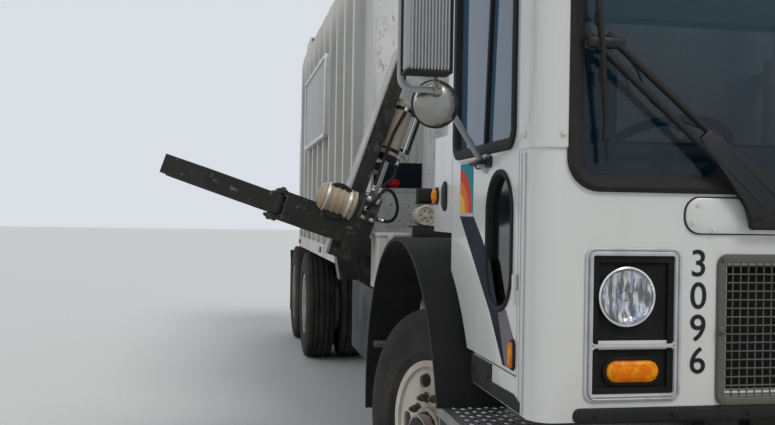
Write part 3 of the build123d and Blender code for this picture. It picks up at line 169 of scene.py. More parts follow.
def weathered_paint(
    name, colour, dirt, rough=0.35, coat=0.25, dust=0.5, scrape=0.0, low=0.4, high=1.6, rust=0.0
):
    """Paint with streaks, dust towards the ground, rust runs and scraped patches."""
    look = Look(name, colour, rough, coat=0.05 if scrape else coat)
    streaks = look.patches(9, 6, 0.45, 0.8, (1, 1, 0.12))
    look.stain(streaks, dirt, 0.35 * dust)
    look.stain(look.multiply(look.lowness(low, high), look.patches(2.2, 5, 0.42, 0.75)), dirt, dust)
    if rust:
        runs = look.patches(26, 7, 0.56, 0.74, (1, 1, 0.05), 0.65)
        look.stain(look.multiply(runs, look.patches(1.3, 4, 0.45, 0.65)), (0.20, 0.105, 0.050), rust)
    if scrape:
        look.stain(look.patches(14, 8, 0.62, 0.68, (1, 1, 0.35), 0.7), (0.16, 0.13, 0.11), scrape)
    look.roughen(streaks, rough, rough + 0.25)
    look.relief(look.noise(260, 2), 0.05, 0.0006)


def worn_black(name, colour, wear=(0.35, 0.34, 0.33), rough=0.42, amount=0.35, metal=0.0, dust=0.12):
    """Dark paint with dust and places rubbed to the metal."""
    look = Look(name, colour, rough, metal, specular=0.3)
    dusty = look.patches(3.5, 5, 0.4, 0.8)
    look.stain(dusty, (0.12, 0.108, 0.092), dust)
    look.stain(look.patches(22, 8, 0.6, 0.72, roughness=0.7), wear, amount)
    look.roughen(dusty, rough, rough + 0.3)
    look.relief(look.noise(120, 5), 0.15, 0.001)


def rubber(name, colour, dust, rough=0.7):
    """Rubber with a film of dust and a fine grain."""
    look = Look(name, colour, rough, specular=0.3)
    film = look.patches(5, 6, 0.4, 0.75)
    look.stain(film, (0.19, 0.17, 0.15), dust)
    look.roughen(film, rough, rough + 0.2)
    look.relief(look.noise(400, 3), 0.2, 0.0008)


def bare_metal(name, colour, rough, tint=(0.12, 0.10, 0.08), amount=0.25, metal=1.0):
    """Metal with smears and a fine grain."""
    look = Look(name, colour, rough, metal)
    smear = look.patches(12, 6, 0.45, 0.8)
    look.stain(smear, tint, amount)
    look.roughen(smear, rough, rough + 0.3)
    look.relief(look.noise(180, 3), 0.1, 0.0006)


def tinted_glass(name, colour, alpha, low_colour, low, high):
    """Tinted glass with faint smears, darker towards its foot."""
    look = Look(name, colour, 0.03, alpha=alpha)
    look.shader["IOR"].default_value = 1.5
    look.roughen(look.patches(3, 5, 0.4, 0.8, (1, 1, 0.6)), 0.02, 0.12)
    look.stain(look.lowness(low, high), low_colour)


def crumpled_paint(name, colour, crack):
    """Old paint on dented sheet, cracked along its creases and scraped in patches."""
    look = Look(name, colour, 0.55)
    tall = (1, 1, 0.45)
    wander = look.add("TexNoise", {"Vector": look.coordinates(tall), "Scale": 7, "Detail": 6}, "Color")
    pull = (0.35, 0.35, 0.35)
    sockets = {0: wander, 1: pull, 2: look.coordinates(tall)}
    warped = look.add("VectorMath", sockets, operation="MULTIPLY_ADD")
    creases = look.add("TexVoronoi", {"Vector": warped, "Scale": 5.0}, "Distance", feature="DISTANCE_TO_EDGE")
    lines = look.multiply(look.spread(creases, 0.004, 0.022, 1, 0), look.patches(3, 4, 0.42, 0.55))
    grime = look.patches(2.5, 6, 0.4, 0.75)
    look.stain(grime, darker(colour, 0.6), 0.45)
    look.stain(lines, crack, 0.7)
    look.stain(look.patches(16, 8, 0.63, 0.68, (1, 1, 0.5), 0.72), crack, 0.7)
    look.roughen(grime, 0.55, 0.80)
    look.relief(creases, 0.35, 0.02)


def speckled_paint(name, colour, spot):
    """Pale panel peppered with dark chips."""
    look = Look(name, colour, 0.5)
    spots = look.patches(55, 2, 0.66, 0.69, roughness=0.4)
    look.stain(look.patches(6, 5, 0.4, 0.8), darker(colour, 0.55), 0.4)
    look.stain(spots, spot)
    look.relief(spots, -0.3, 0.002)


def rail_paint(name, colour):
    """Black paint on the arm's rail with greasy and worn patches, and a bright band along its outer edge that
    is partly worn metal and partly painted highlight.
    """
    look = Look(name, colour, 0.45, specular=0.3)
    along_in = look.add("VectorMath", {0: look.coordinates(), 1: -OUT_DIR}, "Value", operation="DOT_PRODUCT")
    inboard = look.add("Math", {0: along_in, 1: -OUT_DIR.dot(TRUCK + RAIL_FOOT)}, operation="SUBTRACT")
    greasy = look.patches(6, 6, 0.45, 0.75)
    look.stain(greasy, (0.045, 0.038, 0.028), 0.5)
    look.stain(look.patches(18, 7, 0.5, 0.66, (1, 1, 0.6), 0.7), (0.16, 0.15, 0.14), 0.35)
    # Bright band along the rail's outer edge: partly worn metal, partly painted highlight.
    look.stain(look.spread(inboard, 0.010, 0.016, 1, 0), (0.50, 0.49, 0.47), 0.9)
    look.roughen(greasy, 0.35, 0.65)
    look.relief(look.noise(90, 5), 0.25, 0.001)


def reflector(name, colour):
    """Faceted lamp bowl: bright, with painted reflections in it: patches of sky blue, of warm ground and of
    dark.
    """
    look = Look(name, colour, 0.2, metal=1.0)
    look.base = (0.80, 0.81, 0.83)
    # Painted reflections: sky-blue, warm-ground and dark patches laid into the bowl's colour.
    look.stain(look.patches(24, 3, 0.48, 0.56, (1, 1.5, 0.45)), (0.26, 0.32, 0.46), 0.8)
    look.stain(look.patches(31, 3, 0.53, 0.60, (1, 1.5, 0.5)), (0.42, 0.34, 0.28), 0.7)
    look.stain(look.patches(28, 4, 0.47, 0.56, (1, 2.2, 0.5)), (0.06, 0.065, 0.07), 0.9)
    look.relief(look.noise(70, 2), 0.6, 0.003)


def checker_plate(name, colour):
    """Aluminium tread plate: crossed bars in relief."""
    look = Look(name, colour, 0.45, metal=0.9)
    waves = [look.wave(14, look.coordinates(turn=radians(turn))) for turn in (45, -45)]
    bars = [look.spread(wave, 0.75, 0.95) for wave in waves]
    look.stain(look.patches(8, 5, 0.4, 0.8), (0.13, 0.12, 0.11), 0.6)
    look.relief(look.multiply(*bars), 0.9, 0.003)


def woven(name, colour):
    """Seat cloth with a weave."""
    look = Look(name, colour, 0.9)
    weave = look.add("TexChecker", {"Vector": look.coordinates(), "Scale": 400}, "Fac")
    look.stain(look.spread(look.noise(6, 4), 0.3, 0.8, 0, 0.5), darker(colour, 0.5))
    look.relief(weave, 0.3, 0.001)


def lens(name, colour, glint_colour):
    """A coloured lamp lens with fine ribs and some depth, with painted glints in soft brighter patches and
    painted shade along its ribs.
    """
    look = Look(name, colour, 0.3, specular=0.15)
    look.shader["Subsurface Weight"].default_value = 0.15
    ribs = look.wave(60, look.coordinates((1, 1, 0.2)))
    # Painted glints: soft brighter patches that stand in for light reflected in the lens.
    look.stain(look.patches(32, 2, 0.45, 0.62, (1, 1, 1.3)), glint_colour, 0.8)
    # Painted shade: darker along the ribs.
    look.stain(look.spread(ribs, 0.2, 0.9), darker(colour, 0.55), 0.25)
    look.relief(ribs, 0.3, 0.001)


def clear_lens(name, colour, alpha):
    """Clear lamp glass with upright flutes."""
    look = Look(name, colour, 0.05, alpha=alpha)
    look.relief(look.wave(38, look.coordinates(), bands_direction="Y"), 0.6, 0.003)


def make_paints():
    """Painted and dusty surfaces."""
    weathered_paint("cab_paint", (0.66, 0.66, 0.64), (0.42, 0.38, 0.32), 0.28, 0.4, 0.42, low=0.82, high=1.22)
    weathered_paint("body_paint", (0.58, 0.575, 0.55), (0.34, 0.30, 0.25), 0.5, 0.1, 1.0, high=2.4, rust=0.6)
    weathered_paint("olive", (0.085, 0.085, 0.068), (0.16, 0.15, 0.12), 0.55, 0.0, 0.6)
    weathered_paint("wheel_cream", (0.70, 0.67, 0.58), (0.25, 0.20, 0.15), 0.45, 0.1, 1.3, high=1.5)
    weathered_paint("grey_tube", (0.36, 0.37, 0.38), (0.30, 0.28, 0.25), 0.4, dust=0.4)
    weathered_paint("faded_purple", (0.16, 0.145, 0.165), (0.22, 0.20, 0.20), 0.75, 0.0, 0.6)
    weathered_paint("sign_white", (0.50, 0.50, 0.50), (0.30, 0.27, 0.23), 0.7, 0.0, 0.7, high=2.6)
    weathered_paint("ribbed_grey", (0.33, 0.34, 0.34), (0.36, 0.34, 0.30), 0.42, 0.05, 0.4)
    weathered_paint(
        "cylinder_grey", (0.46, 0.39, 0.31), (0.20, 0.15, 0.11), 0.55, dust=0.9, scrape=0.4, high=2.6
    )
    weathered_paint("aged_cream", (0.50, 0.48, 0.38), (0.22, 0.20, 0.16), 0.55, dust=1.0, scrape=0.3)
    weathered_paint("tan", (0.43, 0.34, 0.23), (0.16, 0.12, 0.085), 0.55, 0.0, 1.2, 0.4, high=2.2)
    for name, colour, dirt in (
        ("teal", (0.0, 0.20, 0.24), (0.1, 0.2, 0.2)), ("red", (0.58, 0.035, 0.008), (0.3, 0.15, 0.12)),
        ("orange", (0.68, 0.16, 0.02), (0.4, 0.2, 0.1)), ("yellow", (0.72, 0.42, 0.06), (0.4, 0.3, 0.15)),
    ):
        weathered_paint(name, colour, dirt, 0.65, 0.0, 0.1)
    # scraped_paint is set paler than body_paint, the same white on the body's sides: the extra paleness is
    # painted light, standing in for sun falling into the bay.
    crumpled_paint("scraped_paint", (0.74, 0.74, 0.73), (0.10, 0.085, 0.075))
    speckled_paint("speckled", (0.62, 0.62, 0.60), (0.03, 0.028, 0.026))


def make_dark_looks():
    """Black and dark paint, rubber and cloth."""
    rail_paint("rail_black", (0.012, 0.012, 0.012))
    worn_black("chassis_black", (0.014, 0.014, 0.015), rough=0.5)
    worn_black("arm_black", (0.010, 0.0095, 0.009), (0.40, 0.38, 0.35), 0.44, 0.6)
    worn_black("iron", (0.09, 0.085, 0.078), (0.2, 0.19, 0.17), 0.6, 0.3, 0.3)
    worn_black("greasy_iron", (0.030, 0.028, 0.026), (0.22, 0.20, 0.18), 0.45, 0.5, 0.2)
    worn_black("dash", (0.05, 0.05, 0.055), (0.12, 0.12, 0.12), 0.65, 0.2)
    worn_black("black_mark", (0.008, 0.008, 0.008), (0.3, 0.3, 0.29), 0.6, 0.05, dust=0.02)
    worn_black("satin_black", (0.010, 0.010, 0.011), (0.2, 0.2, 0.19), 0.45, 0.10, dust=0.06)
    worn_black("inset_black", (0.005, 0.005, 0.005), (0.06, 0.06, 0.06), 0.8, 0.1, dust=0.03)
    worn_black("navy", (0.0025, 0.005, 0.017), (0.10, 0.10, 0.11), 0.7, 0.1, dust=0.05)
    rubber("rubber", (0.010, 0.010, 0.010), 0.10)
    rubber("tyre", (0.014, 0.0135, 0.013), 0.26, 0.8)
    woven("seat_cloth", (0.06, 0.07, 0.10))


def make_metals_and_glass():
    """Bare metals, glass and lamps."""
    bare_metal("steel", (0.58, 0.58, 0.57), 0.34)
    bare_metal("chrome", (0.80, 0.80, 0.80), 0.07, amount=0.08)
    bare_metal("alloy", (0.62, 0.62, 0.61), 0.42)
    bare_metal("mirror_face", (0.85, 0.87, 0.88), 0.03, amount=0.04)
    bare_metal("wire", (0.10, 0.095, 0.080), 0.6, (0.05, 0.045, 0.035), 0.5, 0.3)
    bare_metal("lamp_frame", (0.52, 0.52, 0.54), 0.5, (0.26, 0.25, 0.23), 0.5, 0.1)
    bare_metal("dirty_metal", (0.40, 0.38, 0.35), 0.5, amount=0.6)
    bare_metal("bright_shell", (0.27, 0.27, 0.245), 0.18, (0.5, 0.47, 0.42), 0.3)
    bare_metal("worn_steel", (0.70, 0.69, 0.67), 0.45, (0.22, 0.19, 0.16), 0.7, 0.3)
    checker_plate("checker_plate", (0.30, 0.30, 0.295))
    reflector("reflector", (0.95, 0.95, 0.96))
    tinted_glass("glass", (0.012, 0.062, 0.092), 0.55, (0.004, 0.020, 0.032), 1.75, 2.30)
    tinted_glass("door_glass", (0.055, 0.115, 0.19), 0.86, (0.006, 0.007, 0.008), 1.640, 1.690)
    clear_lens("lamp_lens", (0.70, 0.74, 0.78), 0.12)
    # The last colour of each lens is the colour of its painted glints.
    lens("amber", (0.78, 0.17, 0.0), (0.95, 0.42, 0.015))
    lens("red_lens", (0.50, 0.010, 0.008), (0.75, 0.015, 0.012))
    lens("white_lens", (0.80, 0.80, 0.78), (1.0, 1.0, 1.0))


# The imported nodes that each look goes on; a star stands for right and left
NODE_LOOKS = {
    "chassis_black": "frame_rails tanks bumper cab_mounts wipers",
    "iron": "axles knuckle_* tie_rod engine_block arm_valves",
    "alloy": "radiator",
    "steel": "exhaust headlamps lift_cylinder",
    "rubber": "rubber_guards arm_hoses",
    "olive": "grille",
    "checker_plate": "cab_steps",
    "dash": "cab_floor cab_tunnel cab_interior",
    "seat_cloth": "seats",
    "glass": "cab_glass",
    "door_glass": "door_glass_*",
    "cab_paint": "cab_front cab_frame cab_roof door_*",
    "grey_tube": "mirror_*",
    "body_paint": "side_box body_floor body_wall_* body_roof tailgate",
    "scraped_paint": "body_front hopper packer_blade",
    "rail_black": "arm_rail",
    "arm_black": "arm_sleeve arm_carriage grip_frame finger_front finger_rear",
    "tyre": "front_tyre_* fore_tyres_* aft_tyres_*",
    "wheel_cream": "front_wheel_* fore_wheel_* aft_wheel_*",
}


def dress_nodes():
    """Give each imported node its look."""
    for look, names in NODE_LOOKS.items():
        for node_name in {name.replace("*", side) for name in names.split() for side, _ in SIDES}:
            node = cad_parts[node_name]
            node.data.materials.clear()
            node.data.materials.append(LOOKS[look])


# Mesh helpers: each adds faces to a bmesh in the truck's own coordinates
def add_block(shape, low, high, bevel, segments=2):
    """A box between two corners with rounded edges."""
    low, high = Vector(low), Vector(high)
    made = bmesh.ops.create_cube(shape, size=1.0)["verts"]
    size = Vector([abs(high[i] - low[i]) for i in range(3)])
    for vert in made:
        vert.co = vert.co * size + (low + high) / 2
    edges = {edge for vert in made for edge in vert.link_edges}
    bmesh.ops.bevel(shape, geom=list(edges), offset=bevel, segments=segments, profile=0.5, affect="EDGES")


def add_loops(shape, loops, closed=False, caps=True):
    """Skin over a run of point loops, each with the same number of points."""
    rings = [[shape.verts.new(point) for point in loop] for loop in loops]
    count = len(rings[0])
    pairs = list(zip(rings, rings[1:])) + ([(rings[-1], rings[0])] if closed else [])
    for first, second in pairs:
        for index in range(count):
            after = (index + 1) % count
            shape.faces.new((first[index], first[after], second[after], second[index]))
    if caps and not closed:
        shape.faces.new(list(reversed(rings[0])))
        shape.faces.new(rings[-1])


def arc(count, sweep=pi / 2):
    """Angles of a sweep in equal steps, both ends included."""
    return [sweep * step / count for step in range(count + 1)]


def circle(centre, axis, radius, sides):
    """Points round a circle that faces along an axis."""
    axis = Vector(axis).normalized()
    aside = axis.orthogonal().normalized()
    across = axis.cross(aside)
    turns = arc(sides, tau)[:-1]
    return [Vector(centre) + (aside * cos(turn) + across * sin(turn)) * radius for turn in turns]


def add_turned(shape, centre, axis, profile, sides, caps=False):
    """A turned form: profile holds (radius, distance along the axis)."""
    centre, axis = Vector(centre), Vector(axis).normalized()
    loops = [circle(centre + axis * along, axis, max(radius, 1e-5), sides) for radius, along in profile]
    add_loops(shape, loops, caps=caps)


def add_rod(shape, start, end, radius, sides):
    """A round bar with slightly eased ends."""
    start, end = Vector(start), Vector(end)
    length = (end - start).length
    ease = min(radius * 0.2, length * 0.2)
    profile = [(radius - ease, 0), (radius, ease), (radius, length - ease), (radius - ease, length)]
    add_turned(shape, start, end - start, profile, sides, caps=True)


def smooth_path(points, steps):
    """A smooth path through points."""
    padded = [points[0] * 2 - points[1]] + points + [points[-1] * 2 - points[-2]]
    path = []
    for before, first, second, after in zip(padded, padded[1:], padded[2:], padded[3:]):
        for t in [step / steps for step in range(steps)]:
            path.append(0.5 * (
                2 * first + (second - before) * t + (2 * before - 5 * first + 4 * second - after) * t**2
                + (3 * first - before - 3 * second + after) * t**3
            ))
    return path + [points[-1]]


def add_tube(shape, points, radius, sides, steps=1):
    """A round tube along a path through points, smoothed where it has steps."""
    path = [Vector(point) for point in points]
    if steps > 1:
        path = smooth_path(path, steps)
    loops = []
    across = (path[1] - path[0]).orthogonal().normalized()
    for index, point in enumerate(path):
        along = (path[min(index + 1, len(path) - 1)] - path[max(index - 1, 0)]).normalized()
        across = (across - along * across.dot(along)).normalized()
        aside = along.cross(across)
        turns = arc(sides, tau)[:-1]
        loops.append([point + (across * cos(turn) + aside * sin(turn)) * radius for turn in turns])
    add_loops(shape, loops)


def add_plate(shape, outline, thickness, bevel=0.0):
    """A flat plate from its outline's points and a thickness vector."""
    before = set(shape.faces)
    add_loops(shape, [outline, [point + Vector(thickness) for point in outline]])
    if bevel:
        caps = [face for face in shape.faces if face not in before and len(face.verts) == len(outline)]
        edges = list({edge for face in caps for edge in face.edges})
        bmesh.ops.bevel(shape, geom=edges, offset=bevel, segments=2, profile=0.5, affect="EDGES")


def rounded(width, height, radius, steps):
    """Points of a rounded rectangle about its middle."""
    points = []
    for turn, x, y in ((0, 1, 1), (1, -1, 1), (2, -1, -1), (3, 1, -1)):
        for step in range(steps + 1):
            angle = (turn + step / steps) * pi / 2
            u = x * (width / 2 - radius) + radius * cos(angle)
            v = y * (height / 2 - radius) + radius * sin(angle)
            points.append((u, v))
    return points


def rounded_loops(place, width, height, radius, section, steps):
    """Rounded rectangles: section holds (growth, depth), place turns (u, v, depth) to a point."""
    return [
        [place(u, v, depth) for u, v in rounded(
            width + 2 * growth, height + 2 * growth, max(radius + growth, 0.001), steps
        )] for growth, depth in section
    ]


def add_frame(shape, place, width, height, radius, section, steps=8):
    """A frame round a rounded rectangle."""
    add_loops(shape, rounded_loops(place, width, height, radius, section, steps), closed=True)


def add_cover(shape, place, width, height, radius, section, steps=6):
    """A raised form with the outline of a rounded rectangle."""
    add_loops(shape, rounded_loops(place, width, height, radius, section, steps))


def front_place(y, z, base=0.0):
    """Places on the cab's front panel, or on a base behind it, about a middle: depth runs forward."""
    return lambda u, v, depth: Vector((base + depth, y + u, z + v))


def side_place(side, x, z, base=CAB_HALF):
    """Places on one side of the truck about a middle: depth runs outward."""
    return lambda u, v, depth: Vector((x + u, side * (base + depth), z + v))


def roof_place(y):
    """Places on the front edge of the cab's roof about a middle: depth runs up."""
    return lambda u, v, depth: Vector((-0.075 + v, y + u, 2.640 + depth))


def rear_edge_place(side):
    """Places on a flat sheet across the body's rear edge: u runs up, depth runs outward, v isn't used."""
    return lambda u, v, depth: Vector((-7.495, side * (1.120 + depth), 3.150 + u))


def on_side(side, *places):
    """Places given for the left, on one side of the truck."""
    return [Vector((x, side * y, z)) for x, y, z in places]


def add_bolt(shape, place, axis, radius, height):
    """A hexagon head on its washer."""
    washer = [(radius * 1.5, -0.001), (radius * 1.5, 0.002), (radius, 0.0021)]
    top = height + 0.0015
    add_turned(shape, place, axis, washer, 16)
    add_turned(shape, place, axis, [(radius, 0.002), (radius, height), (radius * 0.8, top), (0, top)], 6)


def make_piece(name, shape, look, body, crease=35, replaces=()):
    """Turn a bmesh into a piece that rides on a body."""
    bmesh.ops.recalc_face_normals(shape, faces=shape.faces)
    mesh = bpy.data.meshes.new(name)
    shape.to_mesh(mesh)
    shape.free()
    mesh.materials.append(LOOKS[look])
    mesh.polygons.foreach_set("use_smooth", [True] * len(mesh.polygons))
    mesh.set_sharp_from_angle(angle=radians(crease))
    piece = bpy.data.objects.new(name, mesh)
    bpy.context.scene.collection.objects.link(piece)
    piece.location = TRUCK
    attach(piece, body)
    if replaces:
        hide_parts(*replaces)
    return piece


def add_bolt_ring(shape, centre, axis, radius, count, size, height):
    """Bolts round a circle."""
    for spot in circle(centre, axis, radius, count):
        add_bolt(shape, spot, axis, size, height)


def add_bolt_grid(shape, x, across, up, size, height):
    """Bolts that face forward, at each y of one list and each z of another."""
    for y in across:
        for z in up:
            add_bolt(shape, (x, y, z), FORWARD, size, height)


def add_strap(shape, centre, axis, inner, outer, width, sides):
    """A strap round a turned form, from a centre on along its axis."""
    profile = [(inner, 0), (outer, 0.001), (outer, width - 0.001), (inner, width)]
    add_turned(shape, centre, axis, profile, sides)


def add_side_plate(shape, side, outline, depth, thickness, bevel=0.0):
    """A plate on one side of the cab: outline holds (x, z), depth is where it starts outside the panel."""
    points = [Vector((x, side * (CAB_HALF + depth), z)) for x, z in outline]
    add_plate(shape, points, (0, side * thickness, 0), bevel)


def upright(rear, front, low, high):
    """Corners (x, z) of an upright rectangle."""
    return [(rear, low), (front, low), (front, high), (rear, high)]


def dome(radius, foot, rise, angles):
    """Turned profile of a dome."""
    return [(radius * cos(angle), foot + rise * sin(angle)) for angle in angles]


# Tyres and wheels
def wheels():
    """Each wheel's axle, side, body, hub middle and outward direction."""
    for name, side in SIDES:
        outward = Vector((0, side, 0))
        steered = outward.copy()
        steered.rotate(Matrix.Rotation(STEER, 3, "Z"))
        kingpin = Vector((FRONT_AXLE_X, side * KINGPIN_Y, TYRE_R))
        yield "front", name, f"front_wheel_{name}", kingpin + steered * FRONT_OFFSET, steered
        for axle, x in REAR_AXLES:
            yield axle, name, f"{axle}_wheels_{name}", Vector((x, side * REAR_HUB_Y, TYRE_R)), outward


def add_tyre(shape, centre, outward, blocks):
    """A tyre with grooves round its tread, and with blocks cut in its shoulders if it is a driven one."""
    half, tread, sides = 0.140, 0.118, 120
    flank = [
        (0.286, -0.112), (0.303, -0.122), (0.318, -0.127), (0.335, -0.139), (0.400, -half),
        (0.405, -half + 0.003), (0.430, -half), (0.470, -0.136), (0.505, -0.126), (0.524, -tread),
    ]
    profile = list(flank)
    for groove in (-0.078, -0.028, 0.028, 0.078):
        profile += [
            (TYRE_R, groove - 0.008), (TYRE_R - 0.015, groove - 0.005), (TYRE_R - 0.015, groove + 0.005),
            (TYRE_R, groove + 0.008),
        ]
    profile += [(radius, -along) for radius, along in reversed(flank)]
    loops = []
    for radius, along in profile:
        middle = centre + outward * along
        loop = circle(middle, outward, radius, sides)
        if blocks and abs(along) > 0.09 and radius > 0.5:
            for index in range(0, sides, 3):
                loop[index] = middle + (loop[index] - middle) * (1 - 0.018 / radius)
        loops.append(loop)
    add_loops(shape, loops, closed=True)


def make_tyres():
    """One tyre on each front wheel and a pair on each rear one."""
    for axle, name, body, hub, outward in wheels():
        front = axle == "front"
        shape = bmesh.new()
        for offset in (0,) if front else (-TWIN_HALF, TWIN_HALF):
            add_tyre(shape, hub + outward * offset, outward, not front)
        tyre = "tyre" if front else "tyres"
        make_piece(f"{tyre}_{axle}_{name}", shape, "tyre", body, 30, [f"{axle}_{tyre}_{name}"])


def make_hub_trim():
    """Wheel nuts on their studs, and hub caps."""
    for axle, name, body, hub, outward in wheels():
        face, cap, radius = (0.110, 0.196, 0.070) if axle == "front" else (0.008, 0.235, 0.082)
        nuts, cover = bmesh.new(), bmesh.new()
        for spot in circle(hub + outward * face, outward, 0.143, 10):
            add_bolt(nuts, spot, outward, 0.017, 0.032)
            add_rod(nuts, spot + outward * 0.02, spot + outward * 0.048, 0.010, 10)
        make_piece(f"wheel_nuts_{axle}_{name}", nuts, "iron", body)
        add_turned(cover, hub, outward, [
            (radius + 0.012, cap - 0.055), (radius + 0.012, cap - 0.045), (radius - 0.004, cap - 0.043),
            (radius - 0.004, cap - 0.004), (radius - 0.012, cap + 0.006), (radius * 0.5, cap + 0.012),
            (0, cap + 0.013),
        ], 40)
        add_bolt_ring(cover, hub + outward * (cap - 0.045), outward, radius + 0.004, 8, 0.007, 0.006)
        make_piece(f"hub_cap_{axle}_{name}", cover, "greasy_iron", body)


# Cab front
def make_window_seals():
    """Rubber seals round the windscreen and the rear window."""
    shape = bmesh.new()
    low, high = WINDSHIELD_Z
    place = front_place(0, (low + high) / 2 + 0.008)
    add_frame(shape, place, 2 * WINDSHIELD_HALF + 0.030, high - low - 0.012, 0.075, (
        (0.024, 0.001), (0.022, 0.010), (0.010, 0.015), (-0.012, 0.010), (-0.026, -0.004), (-0.026, -0.030),
        (0.0, -0.030),
    ))
    x, z, width, height = REAR_WINDOW
    add_frame(shape, front_place(0, z, x), width, height, 0.050, (
        (0.022, -0.001), (0.020, -0.010), (-0.016, -0.010), (-0.016, 0.030), (0.0, 0.030),
    ))
    make_piece("window_seals", shape, "rubber", "cab")


def corner_outline(side, grow):
    """Points from the cab's side round its front corner, grown outward."""
    centre = Vector((-CAB_CORNER_R, side * (CAB_HALF - CAB_CORNER_R)))
    bend = [centre + Vector((sin(turn), side * cos(turn))) * (CAB_CORNER_R + grow) for turn in arc(8)]
    return [Vector((-0.142, side * (CAB_HALF + grow))), *bend, Vector((grow, side * 1.052))]


def make_pillar_panels():
    """Outer panels of the front pillars with their bolts, and the ridge and line down each corner below."""
    for name, side in SIDES:
        panel, seam = bmesh.new(), bmesh.new()
        outline = corner_outline(side, 0.006) + corner_outline(side, -0.002)[::-1]
        add_loops(panel, [[Vector((*point, z)) for point in outline] for z in (1.672, 2.458)])
        add_bolt(panel, (-0.085, side * (CAB_HALF + 0.006), 1.712), (0, side, 0), 0.008, 0.005)
        add_bolt(panel, (0.006, side * 1.072, 1.712), FORWARD, 0.008, 0.005)
        make_piece(f"pillar_panel_{name}", panel, "cab_paint", "cab")
        for rear, front, lift, bevel in ((-0.098, -0.088, 0.006, 0.002), (-0.130, -0.127, 0.003, 0.001)):
            add_block(seam, (rear, side * CAB_HALF, 0.885), (front, side * (CAB_HALF + lift), 1.660), bevel)
        make_piece(f"corner_seam_{name}", seam, "cab_paint", "cab")


def make_wiper_covers():
    """Cover plates under the wipers with their bolts and seals."""
    covers, seals = bmesh.new(), bmesh.new()
    outline = 0.41, 0.104, 0.045
    bolts = (-0.17, 0.03), (-0.185, -0.02), (-0.12, -0.042), (0.0, -0.042), (0.12, -0.042), (0.18, 0.0)
    for y in (-0.485, 0.560):
        place = front_place(y, 1.482)
        add_cover(covers, place, *outline, ((0.0, 0.0005), (0.0, 0.008), (-0.006, 0.011), (-0.030, 0.013)))
        add_frame(seals, place, *outline, ((0.004, 0.0), (0.004, 0.003), (-0.001, 0.003), (-0.001, 0.0)))
        for u, v in bolts:
            add_bolt(covers, place(u, v, 0.011), FORWARD, 0.006, 0.003)
    make_piece("wiper_covers", covers, "cab_paint", "cab", 50)
    make_piece("wiper_cover_seals", seals, "rubber", "cab")


def make_number():
    """The fleet number: plain digits, one under another, as thin raised marks."""
    height = 0.078
    for index, digit in enumerate("3096"):
        curve = bpy.data.curves.new(f"digit_{index}", "FONT")
        curve.body = digit
        curve.size = height * 1.42
        curve.align_x = "CENTER"
        curve.extrude = 0.0006
        curve.offset = 0.0008
        made = bpy.data.objects.new(f"digit_curve_{index}", curve)
        bpy.context.scene.collection.objects.link(made)
        made.rotation_euler = (pi / 2, 0, pi / 2)
        made.location = TRUCK + Vector((0.0012, -0.644, 1.304 - index * height * 1.225))
        bpy.context.view_layer.update()
        mesh = bpy.data.meshes.new_from_object(made.evaluated_get(bpy.context.evaluated_depsgraph_get()))
        piece = bpy.data.objects.new(f"number_{index}", mesh)
        piece.matrix_world = made.matrix_world
        bpy.data.objects.remove(made)
        bpy.context.scene.collection.objects.link(piece)
        mesh.materials.clear()
        mesh.materials.append(LOOKS["black_mark"])
        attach(piece, "cab")


def make_headlamps():
    """Stepped frames, black insets, round lamps in chrome rings and amber indicators."""
    frames, insets, rings, bowls, lenses, ambers = (bmesh.new() for _ in range(6))
    for _, side in SIDES:
        y = side * 0.8495
        housing = front_place(y, 1.1615)
        add_frame(frames, housing, 0.299, 0.447, 0.030, (
            (0.0, 0.0005), (0.0, 0.005), (-0.003, 0.007), (-0.007, 0.006), (-0.009, 0.001), (-0.0115, 0.001),
            (-0.0135, 0.009), (-0.017, 0.012), (-0.022, 0.011), (-0.024, 0.0005),
        ), 10)
        for z, height in ((1.2365, 0.264), (1.0225, 0.146)):
            add_frame(frames, front_place(y, z), 0.257, height, 0.014, (
                (0.006, 0.002), (0.006, 0.010), (0.003, 0.012), (0.0, 0.011), (-0.0015, 0.005),
                (-0.0015, -0.020), (0.006, -0.020),
            ))
            add_cover(insets, front_place(y, z), 0.254, height - 0.003, 0.012, ((0, -0.020), (0, -0.006)))
        add_frame(insets, housing, 0.255, 0.403, 0.010, (
            (0.010, 0.001), (0.010, 0.004), (-0.02, 0.004), (-0.02, 0.001),
        ))
        lamp = Vector((0, side * 0.874, 1.244))
        add_turned(rings, lamp, FORWARD, [
            (0.078, -0.006), (0.078, 0.010), (0.082, 0.016), (0.087, 0.014), (0.0895, 0.004),
            (0.0895, -0.006),
        ], 64)
        add_turned(bowls, lamp, FORWARD, [
            (0.079, 0.010), (0.074, 0.0035), (0.064, -0.0005), (0.052, -0.0030), (0.038, -0.0045),
            (0.022, -0.0053), (0.0, -0.0056),
        ], 20)
        add_turned(bowls, lamp, FORWARD, [(0.015, -0.0055), (0.015, 0.003), (0.010, 0.007), (0.0, 0.008)], 24)
        add_turned(lenses, lamp, FORWARD, dome(0.080, 0.010, 0.014, arc(8)) + [(0.0, 0.024)], 64)
        indicator = front_place(side * 0.850, 1.026)
        add_cover(ambers, indicator, 0.160, 0.062, 0.0305, (
            (0.0, -0.006), (0.0, 0.006), (-0.004, 0.010), (-0.012, 0.014), (-0.026, 0.0165),
        ), 8)
        add_frame(insets, indicator, 0.164, 0.066, 0.033, (
            (0.010, -0.006), (0.009, 0.002), (0.003, 0.004), (-0.002, 0.002), (-0.002, -0.006),
        ))
    make_piece("lamp_frames", frames, "lamp_frame", "cab", 40, ["headlamps"])
    make_piece("lamp_insets", insets, "inset_black", "cab")
    make_piece("lamp_rings", rings, "chrome", "cab")
    make_piece("lamp_bowls", bowls, "reflector", "cab", 6)
    make_piece("lamp_lenses", lenses, "lamp_lens", "cab", 60)
    make_piece("indicators", ambers, "amber", "cab", 50)


